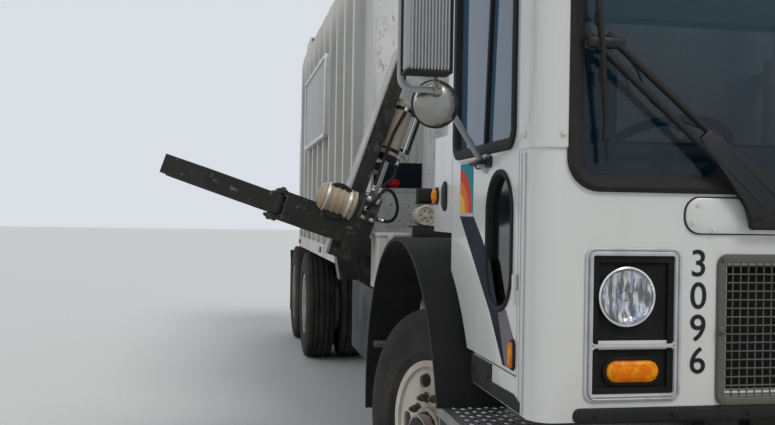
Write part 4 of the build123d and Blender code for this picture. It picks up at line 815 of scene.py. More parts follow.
def make_grille():
    """Grille frame with its fasteners, square wire mesh and the dark screen behind."""
    half, low, high, pitch, wire = 0.562, 0.944, 1.345, 0.0254, 0.0024
    middle, height = (low + high) / 2, high - low
    frame_shape, mesh, screen = bmesh.new(), bmesh.new(), bmesh.new()
    add_frame(frame_shape, front_place(0, middle), 2 * half, height, 0.010, (
        (0.024, 0.0005), (0.024, 0.006), (0.020, 0.011), (0.005, 0.013), (-0.002, 0.010), (-0.003, 0.0005),
    ))
    add_bolt_grid(frame_shape, 0.013, (-0.572, -0.19, 0.19, 0.572), (low - 0.011, high + 0.011), 0.006, 0.004)
    for y in (-0.575, 0.575):
        knob = [(0.012, 0), (0.012, 0.006), (0.008, 0.010), (0.0, 0.011)]
        add_turned(frame_shape, (0.012, y, middle), FORWARD, knob, 20)
    make_piece("grille_frame", frame_shape, "olive", "cab", 35, ["grille"])
    rows, columns = int(height / pitch), int(2 * half / pitch)
    for column in range(columns + 1):
        y = (column - columns / 2) * pitch
        add_turned(mesh, (0.0, y, low), (0, 0, 1), [(wire, 0), (wire, height)], 6)
    for row in range(rows + 1):
        z = middle + (row - rows / 2) * pitch
        add_turned(mesh, (0.003, -half, z), (0, 1, 0), [(wire, 0), (wire, 2 * half)], 6)
    make_piece("grille_mesh", mesh, "wire", "cab")
    add_block(screen, (-0.044, -half - 0.01, low - 0.01), (-0.036, half + 0.01, high + 0.01), 0.001)
    for z in (low, high):
        add_block(screen, (-0.040, -half - 0.004, z - 0.005), (-0.003, half + 0.004, z + 0.005), 0.0005)
    for y in (-half, half):
        add_block(screen, (-0.040, y - 0.005, low), (-0.003, y + 0.005, high), 0.0005)
    make_piece("grille_screen", screen, "inset_black", "cab")


def make_under_strip():
    """Black rubber strip along the foot of the front panel, with its bolts."""
    shape = bmesh.new()
    section = ((0.0, -0.002), (0.0, 0.004), (-0.005, 0.007), (-0.016, 0.007))
    add_cover(shape, front_place(0, 0.899), 2.06, 0.044, 0.020, section)
    add_bolt_grid(shape, 0.007, [-0.96 + index * 0.24 for index in range(9)], [0.899], 0.006, 0.004)
    make_piece("under_strip", shape, "rubber", "cab")


def add_wiper_arm(shape, pivot_y, tip_y):
    """A twin-tube wiper arm with its shaft, casting, head and washer hose."""
    pivot, head = Vector((0.030, pivot_y, 1.487)), Vector((0.030, tip_y, 1.965))
    shaft = [(0.030, 0), (0.030, 0.012), (0.021, 0.018), (0.021, 0.034), (0.0, 0.036)]
    add_turned(shape, (0.012, pivot_y, 1.487), FORWARD, shaft, 24)
    for shift in (0.0, 0.072):
        foot = pivot + Vector((0.004, shift - 0.01, 0.01))
        ends = [head + Vector((x, shift * 0.9, z)) for x, z in ((0, 0), (-0.006, 0.012))]
        add_tube(shape, [foot, foot + Vector((0.006, -0.040, 0.055)), *ends], 0.0105, 10, 4)
    add_block(shape, (0.018, pivot_y - 0.045, 1.442), (0.044, pivot_y + 0.11, 1.528), 0.012, 3)
    outline = ((-0.05, -0.02), (0.09, 0.02), (0.075, 0.075), (-0.185, 0.245), (-0.215, 0.215), (-0.06, 0.03))
    add_plate(shape, [pivot + Vector((-0.002, y, z)) for y, z in outline], (0.020, 0, 0), 0.004)
    add_block(shape, (0.018, tip_y - 0.03, 1.955), (0.040, tip_y + 0.085, 1.990), 0.010)
    add_tube(shape, [
        head + Vector((0.004, 0.06, 0)), (0.030, tip_y + 0.12, 1.90), (0.026, tip_y + 0.16, 1.82),
        (0.030, tip_y + 0.235, 1.765), (0.034, tip_y + 0.33, 1.735),
    ], 0.0035, 8, 6)


def add_wiper_blade(shape, tip_y):
    """A wiper blade with its holders and its bowed spine."""
    top, low = Vector((0.022, tip_y - 0.018, 2.290)), Vector((0.022, tip_y + 0.040, 1.632))
    add_tube(shape, [top, top.lerp(low, 0.5) + FORWARD * 0.004, low], 0.006, 8, 8)
    for share in (0.12, 0.38, 0.62, 0.88):
        spot = top.lerp(low, share)
        add_block(shape, spot - Vector((0.004, 0.010, 0.020)), spot + Vector((0.012, 0.010, 0.020)), 0.003)
    bow = ((0.12, 0), (0.35, 0.016), (0.5, 0.022), (0.65, 0.016), (0.88, 0))
    add_tube(shape, [top.lerp(low, share) + FORWARD * out for share, out in bow], 0.007, 8, 5)


def make_wipers():
    """Both wipers, parked."""
    arms, blades = bmesh.new(), bmesh.new()
    for pivot_y, tip_y in ((-0.458, -0.985), (0.590, 0.063)):
        add_wiper_arm(arms, pivot_y, tip_y)
        add_wiper_blade(blades, tip_y)
    make_piece("wiper_arms", arms, "satin_black", "cab", 45, ["wipers"])
    make_piece("wiper_blades", blades, "rubber", "cab", 45)


# Cab sides
def make_door_trim():
    """Rubber seals round the door's windows, dividing bars, latch plate, handle and rain strip."""
    for name, side in SIDES:
        seals, latch, strip = bmesh.new(), bmesh.new(), bmesh.new()
        x, z, width, height = DOOR_WINDOW
        add_frame(seals, side_place(side, x, z), width, height, 0.045, (
            (0.022, 0.001), (0.020, 0.008), (0.008, 0.012), (-0.012, 0.008), (-0.018, -0.004),
            (-0.018, -0.034), (0.0, -0.034),
        ))
        x, z, width, height = PORTHOLE
        add_frame(seals, side_place(side, x, z), width, height, 0.1305, (
            (0.010, 0.001), (0.009, 0.006), (0.002, 0.009), (-0.006, 0.005), (-0.009, -0.004),
            (-0.009, -0.034), (0.0, -0.034),
        ), 12)
        low, high = 1.705, 2.385
        for foot, head, half in ((-0.542, -0.470, 0.010), (-0.232, -0.212, 0.012)):
            bar = [(foot - half, low), (foot + half, low), (head + half, high), (head - half, high)]
            add_side_plate(seals, side, bar, -0.022, 0.020, 0.002)
        make_piece(f"door_seals_{name}", seals, "rubber", f"door_{name}")
        latch_plate = side_place(side, -0.524, 1.652)
        add_cover(latch, latch_plate, 0.190, 0.040, 0.018, ((0.0, 0.001), (0.0, 0.007), (-0.005, 0.011)))
        handle = ((-0.066, 0, 0.010), (-0.054, -0.002, 0.034), (0.046, -0.002, 0.034), (0.060, 0, 0.010))
        add_tube(latch, [latch_plate(*spot) for spot in handle], 0.0075, 10, 6)
        lock = [(0.010, 0), (0.010, 0.004), (0.0, 0.005)]
        add_turned(latch, latch_plate(0.076, 0, 0.009), (0, side, 0), lock, 20)
        make_piece(f"door_latch_{name}", latch, "satin_black", f"door_{name}")
        add_side_plate(strip, side, upright(-1.030, -0.080, 2.462, 2.480), 0, 0.016, 0.005)
        make_piece(f"rain_strip_{name}", strip, "cab_paint", "cab")


def make_decal(name, look, body, side, lift, *outlines):
    """A thin painted shape on a door."""
    shape = bmesh.new()
    for outline in outlines:
        add_side_plate(shape, side, outline, 0.0002, lift)
    make_piece(name, shape, look, body)


def make_livery():
    """Plain coloured panel and diagonal stripe on each door, in a layout of their own."""
    low, high, rear, front = 1.479, 1.660, -0.836, -0.659
    arches = ("red", 0.160, 0.0009), ("orange", 0.118, 0.0012), ("yellow", 0.072, 0.0015)
    for name, side in SIDES:
        door = f"door_{name}"
        make_decal(f"livery_teal_{name}", "teal", door, side, 0.0006, upright(rear, front, low, high))
        for look, radius, lift in arches:
            fan = [(rear, low)] + [(rear + radius * cos(turn), low + radius * sin(turn)) for turn in arc(16)]
            make_decal(f"livery_{look}_{name}", look, door, side, lift, fan)
        upper = [(-0.836, 1.466), (-0.434, 1.150), (-0.434, 1.316), (-0.648, 1.466)]
        lower = [(-0.434, 1.150), (-0.285, 1.000), (-0.262, 1.000), (-0.352, 1.176), (-0.434, 1.316)]
        make_decal(f"stripe_{name}", "navy", door, side, 0.0009, upper, lower)
        faded = [(-0.262, 1.000), (-0.172, 1.000), (-0.160, 1.076), (-0.262, 1.176), (-0.352, 1.176)]
        make_decal(f"faded_stripe_{name}", "faded_purple", door, side, 0.0007, faded)
        borders = [upright(-0.842, -0.650, foot, foot + 0.010) for foot in (1.4675, 1.662)]
        make_decal(f"livery_border_{name}", "sign_white", door, side, 0.0006, *borders)


def add_oblong_lamp(shape, rim, place, width, height, depth):
    """An oblong lamp lens in a thin black rim."""
    radius = min(width, height) / 2 - 0.001
    section = ((0, 0), (0, depth * 0.55), (-0.3 * radius, depth * 0.9), (-0.7 * radius, depth))
    add_cover(shape, place, width, height, radius, section)
    edge = ((0.008, 0.0), (0.007, 0.006), (0.001, 0.008), (-0.001, 0.0))
    add_frame(rim, place, width, height, radius, edge, 6)


def make_markers():
    """Side marker lamps and vents on the cab, and amber lamps along the roof's edge."""
    for name, side in SIDES:
        amber, rim = bmesh.new(), bmesh.new()
        add_oblong_lamp(amber, rim, side_place(side, -0.184, 1.048), 0.030, 0.080, 0.016)
        make_piece(f"door_marker_{name}", amber, "amber", f"door_{name}")
        make_piece(f"door_marker_rim_{name}", rim, "rubber", f"door_{name}")
        amber, vent, rim = bmesh.new(), bmesh.new(), bmesh.new()
        add_oblong_lamp(amber, rim, side_place(side, -1.215, 1.548), 0.058, 0.058, 0.024)
        make_piece(f"post_marker_{name}", amber, "amber", "cab")
        add_oblong_lamp(vent, rim, side_place(side, -1.075, 1.545), 0.055, 0.105, 0.014)
        make_piece(f"post_vent_{name}", vent, "satin_black", "cab")
        make_piece(f"post_marker_rim_{name}", rim, "rubber", "cab")
    amber, rim = bmesh.new(), bmesh.new()
    for y in (-1.02, -0.16, 0.0, 0.16, 1.02):
        add_oblong_lamp(amber, rim, roof_place(y), 0.100, 0.045, 0.030)
    make_piece("roof_markers", amber, "amber", "cab")
    make_piece("roof_marker_rims", rim, "rubber", "cab")


def make_mirror_tube(name, side, post, far):
    """A mirror's bracket in bent tube on its two feet, with stays to the head."""
    shape = bmesh.new()
    foot, knee, elbow, top, root = on_side(
        side, (-0.500, 1.165, 1.650), (-0.205, 1.394, 1.850), (-0.205, post, 1.850), (-0.205, post, 2.420),
        (-0.250, 1.165, 2.420),
    )
    bends = []
    for before, corner, after in ((foot, knee, elbow), (knee, elbow, top), (elbow, top, root)):
        into, out = (before - corner).normalized() * 0.038, (after - corner).normalized() * 0.038
        bends += [corner + into * (1 - share) ** 2 + out * share ** 2 for share in arc(8, 1)]
    add_tube(shape, [foot, *bends, root], 0.0105, 14)
    for place in (foot, root):
        pad = Vector((place.x, side * CAB_HALF, place.z))
        disc = [(0.036, 0.0), (0.036, 0.005), (0.020, 0.010), (0.018, 0.030), (0.0, 0.031)]
        add_turned(shape, pad, (0, side, 0), disc, 28)
        add_bolt_ring(shape, pad + Vector((0, side * 0.004, 0)), (0, side, 0), 0.028, 4, 0.005, 0.004)
    for z in (1.915, 2.270):
        stay = on_side(side, (-0.205, post, z), (-0.190, post - 0.03, z), (-0.150, far - 0.05, z))
        add_tube(shape, stay, 0.008, 10, 5)
    make_piece(f"mirror_tube_{name}", shape, "grey_tube", f"door_{name}", 40, [f"mirror_{name}"])


def make_mirror_clamp(name, side):
    """The clamp on a mirror's bracket that holds the round mirror."""
    shape = bmesh.new()
    add_block(shape, (-0.221, side * 1.382, 1.834), (-0.189, side * 1.408, 1.866), 0.005)
    for stalk in (
        ((-0.205, 1.396, 1.850), (-0.205, 1.402, 1.878), (-0.160, 1.412, 1.900)),
        ((-0.210, 1.394, 1.850), (-0.222, 1.394, 1.838), (-0.236, 1.394, 1.826)),
    ):
        add_tube(shape, on_side(side, *stalk), 0.007, 10, 5)
    add_bolt(shape, (-0.189, side * 1.394, 1.856), FORWARD, 0.006, 0.008)
    make_piece(f"mirror_clamp_{name}", shape, "dirty_metal", f"door_{name}")


def make_mirror_head(name, side, near, far):
    """A mirror's ribbed head with its edges and glass, and the round wide-angle mirror below."""
    head, dark, face, bowl = (bmesh.new() for _ in range(4))
    door = f"door_{name}"
    round_middle = (-0.244, side * 1.394, 1.811)
    add_block(head, (-0.172, side * near, 1.892), (-0.098, side * far, 2.288), 0.012, 4)
    pitch = (far - near - 0.014) / 12
    for index in range(12):
        y = near + 0.008 + index * pitch
        add_block(head, (-0.100, side * y, 1.892), (-0.0905, side * (y + pitch * 0.52), 2.280), 0.0025)
    make_piece(f"mirror_head_{name}", head, "ribbed_grey", door)
    add_block(dark, (-0.176, side * (near - 0.003), 1.884), (-0.094, side * (far + 0.002), 1.894), 0.003, 3)
    add_block(dark, (-0.176, side * (near - 0.004), 1.884), (-0.093, side * (near + 0.002), 2.290), 0.002)
    add_block(dark, (-0.181, side * (near - 0.004), 1.884), (-0.170, side * (far + 0.004), 2.292), 0.004)
    ring = [(0.069, -0.004), (0.0745, 0.0), (0.075, 0.006), (0.070, 0.009)]
    add_turned(dark, round_middle, FORWARD, ring, 48)
    make_piece(f"mirror_edges_{name}", dark, "rubber", door)
    add_block(face, (-0.1835, side * (near + 0.006), 1.900), (-0.1805, side * (far - 0.006), 2.280), 0.0012)
    glass = [(0.069, -0.002), (0.047, 0.005), (0.024, 0.009), (0.0, 0.010)]
    add_turned(face, round_middle, -FORWARD, glass, 48)
    make_piece(f"mirror_faces_{name}", face, "mirror_face", door)
    shell = [(0.071, -0.002)] + dome(0.071, 0.006, 0.030, arc(10)[:-1]) + [(0.0, 0.036)]
    add_turned(bowl, round_middle, FORWARD, shell, 56)
    make_piece(f"mirror_bowl_{name}", bowl, "bright_shell", door, 50)


def make_mirrors():
    """Both mirrors; the left bracket reaches further."""
    for name, side, post, near, far in (
        ("right", -1, 1.510, 1.380, 1.512), ("left", 1, 1.600, 1.434, 1.566),
    ):
        make_mirror_tube(name, side, post, far)
        make_mirror_clamp(name, side)
        make_mirror_head(name, side, near, far)


def add_cushion(shape, low, high, face):
    """A stuffed cushion between two corners: crowned on one face, its sides pulled in, with sewn channels."""
    low, high = Vector(low), Vector(high)
    middle, half = (low + high) / 2, (high - low) / 2
    made = bmesh.ops.create_cube(shape, size=2.0)["verts"]
    edges = list({edge for vert in made for edge in vert.link_edges})
    bmesh.ops.subdivide_edges(shape, edges=edges, cuts=22, use_grid_fill=True)
    across, along = 1, 2 if face == 0 else 0
    for vert in shape.verts:
        p = vert.co * sum(abs(part) ** 7 for part in vert.co) ** (-1 / 7)
        swell = (1 - p[across] ** 2) * (1 - p[along] ** 2)
        groove = sum(0.10 * 2.718 ** (-((p[across] - channel) / 0.035) ** 2) for channel in (-0.5, 0.0, 0.5))
        if p[face] > 0.3:
            p[face] += 0.22 * swell - groove * (1 - p[along] ** 4)
        p[across] *= 1 - 0.035 * (1 - p[along] ** 2)
        p[along] *= 1 - 0.035 * (1 - p[across] ** 2)
        if p[face] > 0:
            p[face] /= 1.16
        vert.co = middle + half * p


def make_seats():
    """Two cloth seats with stitched channels."""
    for name, side in SIDES:
        near, far = sorted((side * 0.480, side * 0.960))
        cushion, back = bmesh.new(), bmesh.new()
        add_cushion(cushion, (-0.985, near, 1.425), (-0.662, far, 1.562), 2)
        piece = make_piece(f"seat_cushion_{name}", cushion, "seat_cloth", "cab", 60, ["seats"])
        add_cushion(back, (-0.988, near + 0.01, 1.575), (-0.872, far - 0.01, 2.145), 0)
        piece = make_piece(f"seat_back_{name}", back, "seat_cloth", "cab", 60)


# Body and bay
def make_sign():
    """Blank panel in a bolted frame on the body's ribs, on both sides."""
    low, high, rear, front = 2.11, 2.72, -6.50, -4.74
    for name, side in SIDES:
        edge, board = bmesh.new(), bmesh.new()
        place = side_place(side, (rear + front) / 2, (low + high) / 2, BODY_HALF)
        add_frame(edge, place, front - rear, high - low, 0.008, (
            (0.030, 0.0), (0.030, 0.034), (0.026, 0.038), (0.002, 0.038), (-0.002, 0.034), (-0.002, 0.022),
            (0.004, 0.0),
        ), 2)
        for x in (rear - 0.014, -6.06, -5.62, -5.18, front + 0.014):
            for z in (low - 0.014, high + 0.014):
                add_bolt(edge, (x, side * (BODY_HALF + 0.038), z), (0, side, 0), 0.007, 0.005)
        make_piece(f"sign_frame_{name}", edge, "alloy", "chassis")
        back, face = side * (BODY_HALF + 0.002), side * (BODY_HALF + 0.023)
        add_block(board, (rear, back, low), (front, face, high), 0.002)
        make_piece(f"sign_board_{name}", board, "sign_white", "chassis")


def make_bay_panel():
    """Speckled panel on the bay's wall, with its bolts."""
    shape = bmesh.new()
    add_block(shape, (-2.9490, -1.062, 1.385), (-2.9440, -0.838, 1.618), 0.0015)
    add_bolt_grid(shape, -2.944, (-1.050, -0.850), (1.400, 1.500, 1.603), 0.005, 0.004)
    make_piece("bay_panel", shape, "speckled", "chassis")


def make_guard_strips_and_shade_plates():
    """Rubber strips under the doors, each with a bolted black sheet behind it that is painted shade over the
    skirt's rear end.
    """
    shape = bmesh.new()
    # The sheet behind each strip is painted shade: black over the skirt's rear end.
    shade_sheet = [(-0.632, 0.884), (-0.400, 0.884), (-0.396, 0.982), (-0.632, 0.982)]
    edge = [
        (-0.400, 0.884), (-0.092, 0.884), (-0.100, 0.912), (-0.172, 0.930), (-0.364, 0.926), (-0.400, 0.926),
    ]
    for _, side in SIDES:
        add_side_plate(shape, side, shade_sheet, 0.0005, 0.004, 0.001)
        for x in (-0.60, -0.43):
            add_bolt(shape, (x, side * (CAB_HALF + 0.0045), 0.935), (0, side, 0), 0.007, 0.004)
        add_side_plate(shape, side, edge, 0.0005, 0.004, 0.001)
    make_piece("guard_strips_and_shade_plates", shape, "rubber", "cab")


def make_navy_bands():
    """Painted bands on the bay's wall and on the body's sides."""
    shape = bmesh.new()
    add_block(shape, (-2.9485, -1.148, 1.625), (-2.947, -0.835, 1.780), 0.0004)
    for _, side in SIDES:
        add_block(shape, (-7.48, side * 1.1505, 1.820), (-7.36, side * 1.1520, 1.990), 0.0004)
    make_piece("navy_band", shape, "navy", "chassis")


def make_bay_reflector():
    """Red reflector on the bay's wall."""
    lamp, rim = bmesh.new(), bmesh.new()
    add_oblong_lamp(lamp, rim, front_place(-1.010, 1.655, -2.947), 0.070, 0.040, 0.018)
    make_piece("bay_reflector", lamp, "red_lens", "chassis")
    make_piece("bay_reflector_rim", rim, "rubber", "chassis")


def make_bay_shelf():
    """Shelf beside the hopper."""
    shape = bmesh.new()
    for low, high in (
        ((-2.200, -1.070, 1.400), (-2.085, -0.830, 1.408)),
        ((-2.092, -1.070, 1.330), (-2.085, -0.830, 1.404)),
        ((-2.190, -0.846, 1.408), (-2.095, -0.830, 1.610)),
        ((-2.180, -1.040, 1.520), (-2.100, -0.846, 1.527)),
    ):
        add_block(shape, low, high, 0.002)
    make_piece("bay_shelf", shape, "chassis_black", "chassis")


def make_bay_tank():
    """Small round tank on the shelf, with its bands and bolts."""
    tank, bands = bmesh.new(), bmesh.new()
    foot = Vector((-2.205, -1.000, 1.462))
    add_turned(tank, foot, FORWARD, [
        (0.0, 0.0), (0.044, 0.001), (0.0515, 0.006), (0.0525, 0.030), (0.0525, 0.094), (0.0545, 0.096),
        (0.0545, 0.106), (0.0525, 0.108), (0.0525, 0.124), (0.0500, 0.128), (0.0440, 0.1285), (0.0425, 0.124),
        (0.012, 0.123), (0.011, 0.130), (0.0, 0.131),
    ], 40)
    make_piece("bay_tank", tank, "aged_cream", "chassis", 30)
    for along in (0.018, 0.062):
        add_strap(bands, foot + FORWARD * along, FORWARD, 0.0525, 0.0550, 0.014, 40)
    add_bolt_ring(bands, foot + FORWARD * 0.1235, FORWARD, 0.028, 6, 0.0042, 0.004)
    make_piece("bay_tank_bands", bands, "dirty_metal", "chassis")


def make_bay_box():
    """Junction box on the shelf."""
    shape = bmesh.new()
    add_block(shape, (-2.175, -1.038, 1.527), (-2.105, -0.962, 1.605), 0.006, 3)
    add_block(shape, (-2.105, -1.030, 1.535), (-2.101, -0.970, 1.597), 0.002)
    add_bolt_grid(shape, -2.101, (-1.024, -0.976), (1.541, 1.591), 0.004, 0.003)
    make_piece("bay_box", shape, "satin_black", "chassis")


def make_side_box_lid():
    """Lid of the side box with its two catches."""
    shape = bmesh.new()
    add_block(shape, (-2.318, -1.258, 1.352), (-2.102, -0.912, 1.368), 0.004)
    for y in (-1.18, -0.99):
        add_block(shape, (-2.111, y - 0.014, 1.318), (-2.098, y + 0.014, 1.362), 0.003)
        add_block(shape, (-2.106, y - 0.008, 1.290), (-2.099, y + 0.008, 1.330), 0.002)
    make_piece("side_box_lid", shape, "body_paint", "chassis")


def make_body_welds():
    """Welded seams beside the body's ribs and along its foot."""
    shape = bmesh.new()
    rib_pitch, rib_width = 0.449, 0.076
    for _, side in SIDES:
        for index in range(10):
            for edge in (0.0, rib_width):
                x = -7.420 + index * rib_pitch + edge
                add_tube(shape, on_side(side, (x, 1.1505, 1.205), (x, 1.1505, 2.995)), 0.0035, 6)
        add_tube(shape, on_side(side, (-7.445, 1.2205, 1.198), (-2.965, 1.2205, 1.198)), 0.0035, 6)
    make_piece("body_welds", shape, "body_paint", "chassis")


def make_side_lamps():
    """Side lamps along the body's foot, and a flat upper one on each side at the rear."""
    amber, red, rim = bmesh.new(), bmesh.new(), bmesh.new()
    for _, side in SIDES:
        for x, shape in ((-3.10, amber), (-5.20, amber), (-7.30, red)):
            add_oblong_lamp(shape, rim, side_place(side, x, 1.145, BODY_HALF), 0.100, 0.036, 0.016)
        add_oblong_lamp(red, rim, rear_edge_place(side), 0.100, 0.036, 0.016)
    make_piece("side_lamps", amber, "amber", "chassis", 50)
    make_piece("side_lamps_rear", red, "red_lens", "chassis", 50)
    make_piece("side_lamp_rims", rim, "rubber", "chassis")


def make_bay_lips():
    """Lips along the edges of the bay's wall."""
    shape = bmesh.new()
    outline = [Vector((BAY_WALL_X, y, z)) for y, z in upright(-1.152, -0.842, 1.600, 1.612)]
    add_plate(shape, outline, (0.010, 0, 0), 0.003)
    add_block(shape, (-2.950, -1.156, 1.095), (-2.936, -1.138, 3.000), 0.004)
    make_piece("bay_lips", shape, "body_paint", "chassis")


def make_tail_lamps():
    """Round lamps in rubber rings across the tailgate."""
    red, rim, white = bmesh.new(), bmesh.new(), bmesh.new()
    cover = [(0.052, 0.0), (0.052, 0.012), (0.035, 0.020), (0.0, 0.022)]
    ring = [(0.066, 0.0), (0.066, 0.010), (0.060, 0.014), (0.053, 0.012), (0.053, 0.0)]
    for _, side in SIDES:
        for y, shape in ((0.96, red), (0.81, red), (0.66, white)):
            place = Vector((TAIL_X, side * y, 1.62))
            add_turned(shape, place, -FORWARD, cover, 40)
            add_turned(rim, place, -FORWARD, ring, 40)
    make_piece("tail_lamps", red, "red_lens", "tailgate", 50)
    make_piece("reverse_lamps", white, "white_lens", "tailgate", 50)
    make_piece("tail_lamp_rings", rim, "rubber", "tailgate")


def add_tread_bar(shape, centre, lean):
    """A raised bar with a pointed outline, turned about the vertical."""
    along = Vector((cos(lean), sin(lean), 0)) * 0.011
    across = Vector((-sin(lean), cos(lean), 0)) * 0.0035
    foot = [centre + along, centre + across, centre - along, centre - across]
    crown = [centre + (corner - centre) * 0.6 + Vector((0, 0, 0.0028)) for corner in foot]
    add_loops(shape, [foot, crown])


def make_step_treads():
    """Raised bars on both treads of the cab steps."""
    shape = bmesh.new()
    pitch = 0.030
    for _, side in SIDES:
        for near, far, top in ((0.985, 1.245, 0.780), (1.025, 1.225, 0.430)):
            for row in range(int((far - near) / pitch)):
                for column in range(11):
                    x = -0.735 + pitch * (column + 0.5 * (row % 2))
                    y = side * (near + pitch * (row + 0.5))
                    add_tread_bar(shape, Vector((x, y, top)), radians(45 if (row + column) % 2 else -45))
    make_piece("step_treads", shape, "checker_plate", "chassis")


# Arm
def arm_place(x, inboard, rise):
    """A place beside the rail: forward of its middle, inboard of the tilt pin and up along the rail."""
    return PIVOT - OUT_DIR * inboard + ARM_DIR * rise + Vector((x, 0, 0))


def make_lift_cylinder():
    """Lift cylinder with its straps, gland, rod and eye, and the two bars beside it."""
    barrel, dark, bright = bmesh.new(), bmesh.new(), bmesh.new()
    inboard = 0.325
    foot = arm_place(0, inboard, 0)
    add_turned(barrel, foot, ARM_DIR, [
        (0.0425, 0.470), (0.0515, 0.471), (0.0525, 0.474), (0.0525, 0.786), (0.0515, 0.790), (0.046, 0.7925),
        (0.0, 0.793),
    ], 40)
    add_turned(dark, foot, ARM_DIR, [
        (0.021, 0.434), (0.050, 0.435), (0.0555, 0.440), (0.0555, 0.469), (0.050, 0.471), (0.0426, 0.4715),
    ], 40)
    for shape, aside, head, radius in ((bright, 0.072, 0.745, 0.0072), (dark, 0.094, 0.930, 0.0095)):
        start, end = (arm_place(0.040, inboard + aside, rise) for rise in (0.505, head))
        add_rod(shape, start, end, radius, 16)
    for rise in (0.520, 0.725):
        start, end = arm_place(0.034, inboard + 0.048, rise), arm_place(0.040, inboard + 0.100, rise)
        add_rod(dark, start, end, 0.009, 12)
    add_bolt_ring(dark, foot + ARM_DIR * 0.446, -ARM_DIR, 0.033, 6, 0.006, 0.006)
    add_turned(bright, foot, ARM_DIR, [(0.0, 0.0265), (0.020, 0.027), (0.020, 0.449), (0.0, 0.4495)], 32)
    add_strap(dark, arm_place(-0.030, inboard, 0.040), FORWARD, 0.0, 0.036, 0.060, 32)
    for along in (0.490, 0.730):
        add_strap(dark, foot + ARM_DIR * along, ARM_DIR, 0.052, 0.0555, 0.020, 40)
    make_piece("lift_barrel", barrel, "cylinder_grey", "arm_mast", 40)
    make_piece("lift_collar", dark, "arm_black", "arm_mast")
    make_piece("lift_rod", bright, "chrome", "arm_mast")


def rail_face(step):
    """A place on the rail's outer face and its outward direction: step 0 to 1 is the rail, to 2 its head."""
    foot = RAIL_FOOT - ARM_DIR * 0.150
    head = RAIL_FOOT + ARM_DIR * (0.960 / cos(ARM_TILT))
    if step <= 1:
        return foot.lerp(head, step), OUT_DIR
    turn = radians(70) * (step - 1)
    outward = OUT_DIR * cos(turn) + ARM_DIR * sin(turn)
    return head + (outward - OUT_DIR) * RAIL_HEAD_R, outward


def make_rail_edges():
    """Bright edges along the rail and round its head: partly worn metal, partly painted highlight."""
    shape = bmesh.new()
    for low, high in ((-0.0798, -0.0668), (0.0668, 0.0798)):
        section = ((low, -0.001), (high, -0.001), (high, 0.0014), (low, 0.0014))
        loops = []
        for step in arc(4, 1) + [1 + share for share in arc(12, 1)[1:]]:
            place, outward = rail_face(step)
            loops.append([place + Vector((x, 0, 0)) + outward * lift for x, lift in section])
        add_loops(shape, loops)
    make_piece("rail_wear_and_highlight_edges", shape, "worn_steel", "arm_mast")


def make_tilt_drum():
    """Ribbed tan drum of the tilt drive, with its bolts and straps."""
    drum, straps = bmesh.new(), bmesh.new()
    middle = arm_place(0.290, 0.107, 0.118)
    profile = [(0.0, -0.108), (0.030, -0.106), (0.056, -0.098), (0.068, -0.088)]
    for index in range(5):
        along = -0.080 + index * 0.031
        swell = 0.0715 + 0.0035 * (1 - (index / 2 - 1) ** 2)
        rib = swell + 0.0045
        profile += [(swell, along), (rib, along + 0.003), (rib, along + 0.009), (swell, along + 0.012)]
    profile += [
        (0.072, 0.076), (0.080, 0.078), (0.080, 0.092), (0.072, 0.094), (0.060, 0.100), (0.030, 0.106),
        (0.0, 0.107),
    ]
    add_turned(drum, middle, -OUT_DIR, profile, 64)
    add_bolt_ring(drum, middle - OUT_DIR * 0.078, OUT_DIR, 0.0755, 12, 0.0042, 0.005)
    make_piece("tilt_drum", drum, "tan", "grip", 32)
    for along in (-0.068, 0.050):
        add_strap(straps, middle - OUT_DIR * along, -OUT_DIR, 0.074, 0.0805, 0.016, 64)
    make_piece("drum_straps", straps, "worn_steel", "grip", 32)


def make_hose_ends():
    """Crimped ends of the hoses."""
    shape = bmesh.new()
    crimp = [
        (0.0095, 0.0), (0.0125, 0.001), (0.0125, 0.010), (0.0112, 0.012), (0.0125, 0.014), (0.0125, 0.026),
        (0.0092, 0.030),
    ]
    for x, inboard, rise, axis in (
        (0.072, 0.302, 0.2485, ARM_DIR), (0.072, 0.343, 0.2485, ARM_DIR), (0.072, 0.325, 0.7515, -ARM_DIR),
        (0.0, 0.388, 0.4615, -ARM_DIR), (0.072, 0.3835, 0.110, -OUT_DIR), (0.1325, 0.291, 0.140, FORWARD),
    ):
        add_turned(shape, arm_place(x, inboard, rise), axis, crimp, 20, True)
    make_piece("hose_ends", shape, "steel", "arm_mast")


def make_valve_trim():
    """Bolts and hexagon caps on the front of the valve block."""
    bolts, caps = bmesh.new(), bmesh.new()
    for inboard in (0.275, 0.355):
        for rise in (0.062, 0.218):
            add_bolt(bolts, arm_place(0.110, inboard, rise), FORWARD, 0.006, 0.006)
    make_piece("valve_bolts", bolts, "steel", "arm_mast")
    hexagon = [(0.0152, -0.018), (0.0158, -0.016), (0.0158, 0.0), (0.012, 0.002)]
    for inboard in (0.291, 0.339):
        for rise in (0.085, 0.195):
            place = arm_place(0.132, inboard, rise)
            add_turned(caps, place, FORWARD, hexagon, 6)
            add_turned(caps, place, FORWARD, [(0.009, 0.0), (0.009, 0.010), (0.0, 0.011)], 16)
    make_piece("valve_caps", caps, "alloy", "arm_mast")


def make_grip_bolts():
    """Bolts on the tilting frame's cross tube and on the fingers' pins."""
    shape = bmesh.new()
    for x in (-0.150, -0.050, 0.050, 0.150):
        for rise in (-0.045, 0.045):
            add_bolt(shape, arm_place(x, -0.135, rise), OUT_DIR, 0.010, 0.008)
    for end in (-1, 1):
        for rise, axis in ((-0.0745, -ARM_DIR), (0.0755, ARM_DIR)):
            hub = arm_place(end * 0.290, -PIVOT_OUT, rise)
            add_turned(shape, hub, axis, [(0.026, -0.001), (0.026, 0.004), (0.017, 0.0045)], 28)
            add_bolt(shape, hub + axis * 0.004, axis, 0.014, 0.010)
    make_piece("grip_bolts", shape, "iron", "grip")


